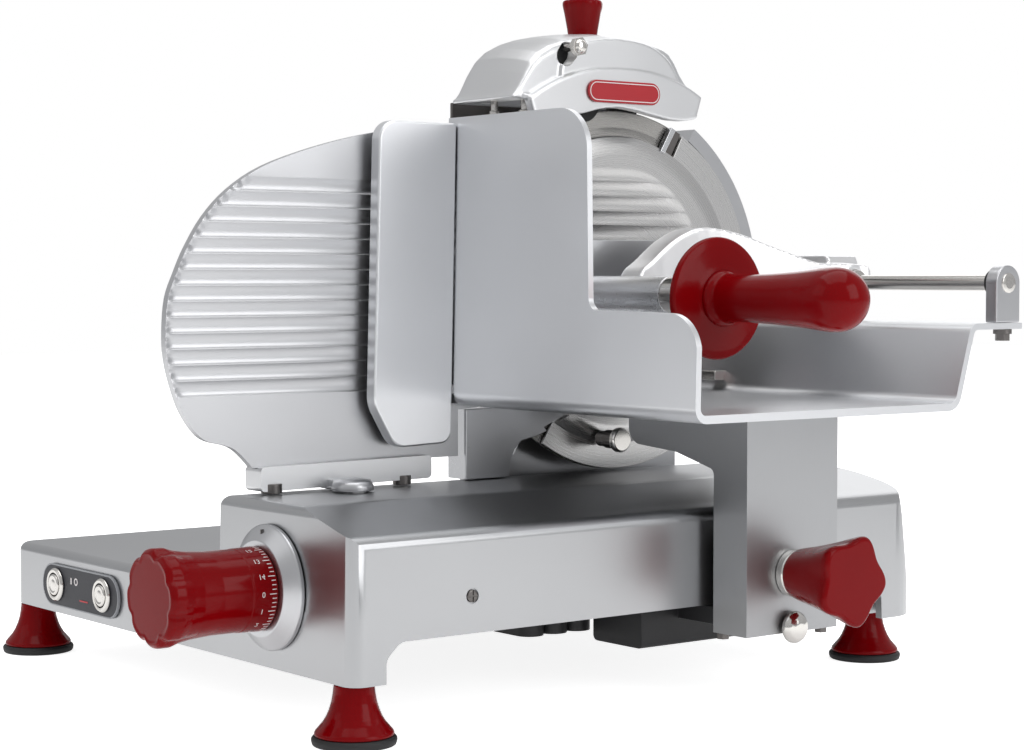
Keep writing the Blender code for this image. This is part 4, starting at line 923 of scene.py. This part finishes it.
def make_sharpener():
    tops = [(198.2, 391.0, 0.0), (200.5, 393.6, 0.0), (203.4, 398.2, 0.1), (206.4, 404.6, 0.18),
        (209.5, 411.2, 0.2), (215, 420.0, 0.15), (222, 426.2, 0.1), (232, 431.3, 0.07), (243, 434.8, 0.055),
        (255, 437.2, 0.05), (268, 438.9, 0.045), (279, 439.6, 0.04), (303, 439.0, 0.04), (316, 437.4, 0.035),
        (325, 435.2, 0.03), (331, 433.2, 0.025), (336, 430.4, 0.02), (341, 424.0, 0.01), (345, 416.0, 0.0),
        (350, 409.0, 0.0), (357, 403.0, 0.0), (362, 396.0, 0.0)]
    slope = [(-174.2, 0.0, 0), (-174.2, 0.60, 0), (-173.6, 0.80, 0), (-172, 0.90, 0), (-169, 0.97, 0),
             (-164, 0.995, 0), (-158, 1.0, 0), (-146, 1.0, 0.05), (-134, 0.992, 0.25), (-124, 0.985, 0.5),
             (-116, 0.972, 0.76), (-110.5, 0.95, 0.92), (-107.6, 0.91, 1.0), (-106.4, 0.82, 1.0),
             (-106.2, 0.0, 1.0)]
    rings = []
    for y, high, sink in tops:
        rings.append([(x, y, 390.2 + (high - 390.2) * part * (1 - sink * drop)) for x, part, drop in slope])
    flange = fillet([(-177, 197.5), (-106, 205), (-101.5, 213), (-101.5, 350), (-110, 361), (-173, 361),
        (-173, 300), (-177, 290)], [6, 4, 6, 6, 8, 8, 3, 3], 6)
    shield = smooth_line([(208.5, 390), (222, 398), (240, 406), (262, 411.5), (287, 413.2), (312, 412.5),
                          (334, 408.5), (350, 403), (361, 397.4)], 5)
    shield += smooth_line([(356, 382), (345, 380.3), (332, 380.4), (316, 382.6), (300, 385.3), (284, 386.6),
                           (268, 385), (251, 381), (232, 379.6), (212, 379.8)], 5)
    bulge = smooth_line([(238, 398), (238, 411), (243, 421), (257, 429.6), (279, 433.4), (303, 433),
        (320, 429.5), (334, 421), (343, 408), (346, 398)], 5)
    head = Piece("sharp_head", loft(rings), prism(flange, "Z", 389.6, 392.6),
                 prism(shield, "X", -108, -100.5), prism(bulge, "X", -130, -104.4),
                 bar("Z", 397, 439.2, SHARP, 9.4))
    head.cast(0.8, 6)
    head.cut(block((-168, -112.5), (224, 344), (366, 409)))
    head.cut(block((-172, -109), (201, 230), (366, 391.0)))
    head.cut(bar("Z", 370, 407, SHARP, 6.5, 40))
    tilt = math.radians(48)
    oblong = [(243.6 + u * math.cos(tilt) - v * math.sin(tilt),
               421.0 + u * math.sin(tilt) + v * math.cos(tilt)) for u, v in capsule((0, 0), 17.5, 13.6, 14)]
    head.cut(prism(oblong, "X", -116, -98))
    head.done("sharpener", HEAD, "sharpener_head")
    # black sheet at the bottom of the button slot: painted shade in the recess
    Piece("slot_painted_shade", prism(oblong, "X", -115.6, -114.8)).done("sharpener", BLACK)
    # dark plate behind and below the head: its dark tone is partly its own colour and partly painted shade
    # under the head
    strip = fillet([(198.5, 374), (300, 374), (300, 390.5), (198.5, 390.5)], [3, 3, 0, 0], 5)
    Piece("back_plate", prism(strip, "X", -177, -174.5)).bevel(0.6, 2).done("sharpener", DARK_STEEL)
    for k, (x, y, r) in enumerate(((-150, 216, 3.6), (-128, 226, 5.2))):
        pin = [(378, 0), (378, r), (384, r), (384, r * 0.7), (408, r * 0.7), (408, 0)]
        Piece(f"stone_pin_{k}", lathe(pin, 0.5, "Z", (x, y), 36)).done("sharpener", CHROME)
    badge = Piece("badge_plate", prism(capsule(BADGE_MIDDLE, 64, 15, 16), "X", -100.4, -98.6))
    badge.bevel(0.5, 3).done("sharpener", RED_SATIN, "badge")
    Piece("badge_rim", capsule_frame(BADGE_MIDDLE, 61.4, 12.4, 0.6, "X", -98.35, -98.75)).done(
        "sharpener", MARK_WHITE)
    Piece("sharp_post", bar("Z", 380.3, 405.5, SHARP, 6, 40, 0.5)).done("base", CHROME, "sharpener_post")

    def flutes(along, turn):
        if along < 452:
            return 1
        depth = min((along - 452) / 9, 1) * 0.045
        return 1 - depth * (0.5 + 0.5 * math.cos(turn * 8)) ** 3

    knob = round_line([(439.6, 0), (439.6, 10.0), (446, 10.9), (452, 12.0), (457, 13.0), (461, 14.0),
        (463.6, 14.35), (465.4, 13.8), (466, 12.2), (464.8, 10.4), (464.6, 0)], 1.0)
    Piece("sharp_handle", turned(knob, "Z", SHARP, 128, flutes)).done(
        "sharpener_screw", RED, "sharpener_knob", 50)
    stem = [(-112.0, 0), (-112.0, 3), (-102.0, 3), (-102.0, 5.4), (-100.4, 5.4), (-100.4, 0)]
    push = Piece("front_pusher", lathe(stem, 0.4, "X", FRONT_PUSH, 48),
                 hexagon("X", -100.6, -96.8, FRONT_PUSH, 11.4, 12),
                 lathe([(-96.8, 0), (-96.8, 5.2), (-94.4, 3.6), (-93.6, 0)], 1.0, "X", FRONT_PUSH, 48))
    push.bevel(0.3, 2).done("sharpener_front_button", CHROME, "sharp_button_front", 35)
    back = [(-152, 0), (-152, 3), (-176, 3), (-176, 6.5), (-183, 6.5), (-185, 5), (-185.5, 0)]
    Piece("back_pusher", lathe(back, 0.5, "X", (240, 406), 48)).done(
        "sharpener_back_button", CHROME, "sharp_button_back", 40)
    front = [(-131, 0), (-131, 14), (-126, 14), (-126, 4), (-115.5, 4), (-115.5, 0)]
    Piece("front_stone_disc", lathe(front, 0.6, "X", (275, 392), 56)).done(
        "front_stone", RUBBER, "wheel_front", 40, slot="black_plastic")
    rear = [(-149, 0), (-149, 4), (-143.4, 4), (-143.4, 14), (-138.4, 14), (-138.4, 0)]
    Piece("back_stone_disc", lathe(rear, 0.6, "X", (322, 395), 56)).done(
        "back_stone", RUBBER, "wheel_back", 40, slot="black_plastic")


# ---------------- stage

def lamp(name, place_mm, target_mm, size, power):
    light = bpy.data.lights.new(name, "AREA")
    light.shape, light.size, light.size_y = "RECTANGLE", size[0], size[1]
    light.energy = power
    made = bpy.data.objects.new(name, light)
    bpy.context.scene.collection.objects.link(made)
    made.location = at(place_mm)
    made.rotation_euler = (at(place_mm) - at(target_mm)).to_track_quat("Z", "Y").to_euler()


def make_stage():
    scene = bpy.context.scene
    azimuth, pitch = math.radians(52.4), math.radians(2.5)
    level = math.cos(pitch)
    back = Vector((math.sin(azimuth) * level, -math.cos(azimuth) * level, math.sin(pitch)))
    lens = bpy.data.cameras.new("camera")
    lens.sensor_width, lens.lens, lens.clip_start = 36.0, 2250 / 1024 * 36, 0.05
    camera = bpy.data.objects.new("camera", lens)
    scene.collection.objects.link(camera)
    camera.location = at((1070.6, -708.8, 272.0))
    camera.rotation_euler = back.to_track_quat("Z", "Y").to_euler()
    scene.camera = camera

    floor_mesh = bpy.data.meshes.new("floor")
    floor_mesh.from_pydata([(-6, -6, 0), (6, -6, 0), (6, 6, 0), (-6, 6, 0)], [], [(0, 1, 2, 3)])
    floor = bpy.data.objects.new("floor", floor_mesh)
    scene.collection.objects.link(floor)
    floor.location.z = ORIGIN.z - 0.0002
    look, tree, shader = new_material("floor_white", (0.93, 0.93, 0.93), 0.0, 0.7)
    two_tone(tree, shader, remap(tree, noise(tree, 3.0), 0, 1), (0.92, 0.92, 0.92), (0.94, 0.94, 0.94))
    shader.inputs["Emission Color"].default_value = (1, 1, 1, 1)
    shader.inputs["Emission Strength"].default_value = 0.36
    seen = node(tree, "LightPath")
    tree.links.new(remap(tree, seen.outputs["Is Camera Ray"], 0.36, 0.86, 0.0, 1.0),
        shader.inputs["Emission Strength"])
    shader.inputs["Specular IOR Level"].default_value = 0.0
    floor_mesh.materials.append(look)

    world = bpy.data.worlds.new("studio")
    scene.world = world
    world.use_nodes = True
    tree = world.node_tree
    tree.nodes.clear()
    out = node(tree, "OutputWorld")
    split = node(tree, "SeparateXYZ")
    tree.links.new(node(tree, "TexCoord").outputs["Generated"], split.inputs[0])
    ramp = node(tree, "ValToRGB")
    stops = ramp.color_ramp.elements
    stops[0].position, stops[0].color = 0.42, (0.62, 0.63, 0.65, 1)
    stops[1].position, stops[1].color = 1.0, (1.0, 1.0, 1.0, 1)
    middle = stops.new(0.60)
    middle.color = (0.84, 0.845, 0.86, 1)
    tree.links.new(remap(tree, split.outputs["Z"], 0.0, 1.0, -1.0, 1.0), ramp.inputs["Fac"])
    studio = node(tree, "Background", {"Strength": 0.62})
    tree.links.new(ramp.outputs["Color"], studio.inputs["Color"])
    plain = node(tree, "Background", {"Color": (1, 1, 1, 1), "Strength": 1.0})
    mix = node(tree, "MixShader")
    tree.links.new(node(tree, "LightPath").outputs["Is Camera Ray"], mix.inputs[0])
    tree.links.new(studio.outputs[0], mix.inputs[1])
    tree.links.new(plain.outputs[0], mix.inputs[2])
    tree.links.new(mix.outputs[0], out.inputs["Surface"])

    lamp("key", (-900, -1500, 1300), (-150, 150, 200), (1.4, 1.2), 2.5)
    lamp("top", (-100, 200, 1700), (-150, 240, 150), (1.6, 1.6), 12)
    lamp("right", (1500, 700, 900), (0, 250, 200), (1.0, 1.2), 9)
    lamp("rear", (-900, 1700, 1100), (-150, 250, 200), (1.4, 1.2), 6)
    scene.view_settings.view_transform = "Standard"
    scene.view_settings.look = "None"
    scene.view_settings.exposure = 0.0


make_stage()
make_base()
make_underside()
make_feet()
make_controls()
make_dial()
make_gauge()
make_blade()
make_housing()
make_cover()
make_carriage()
make_rod()
make_star()
make_pusher()
make_sharpener()
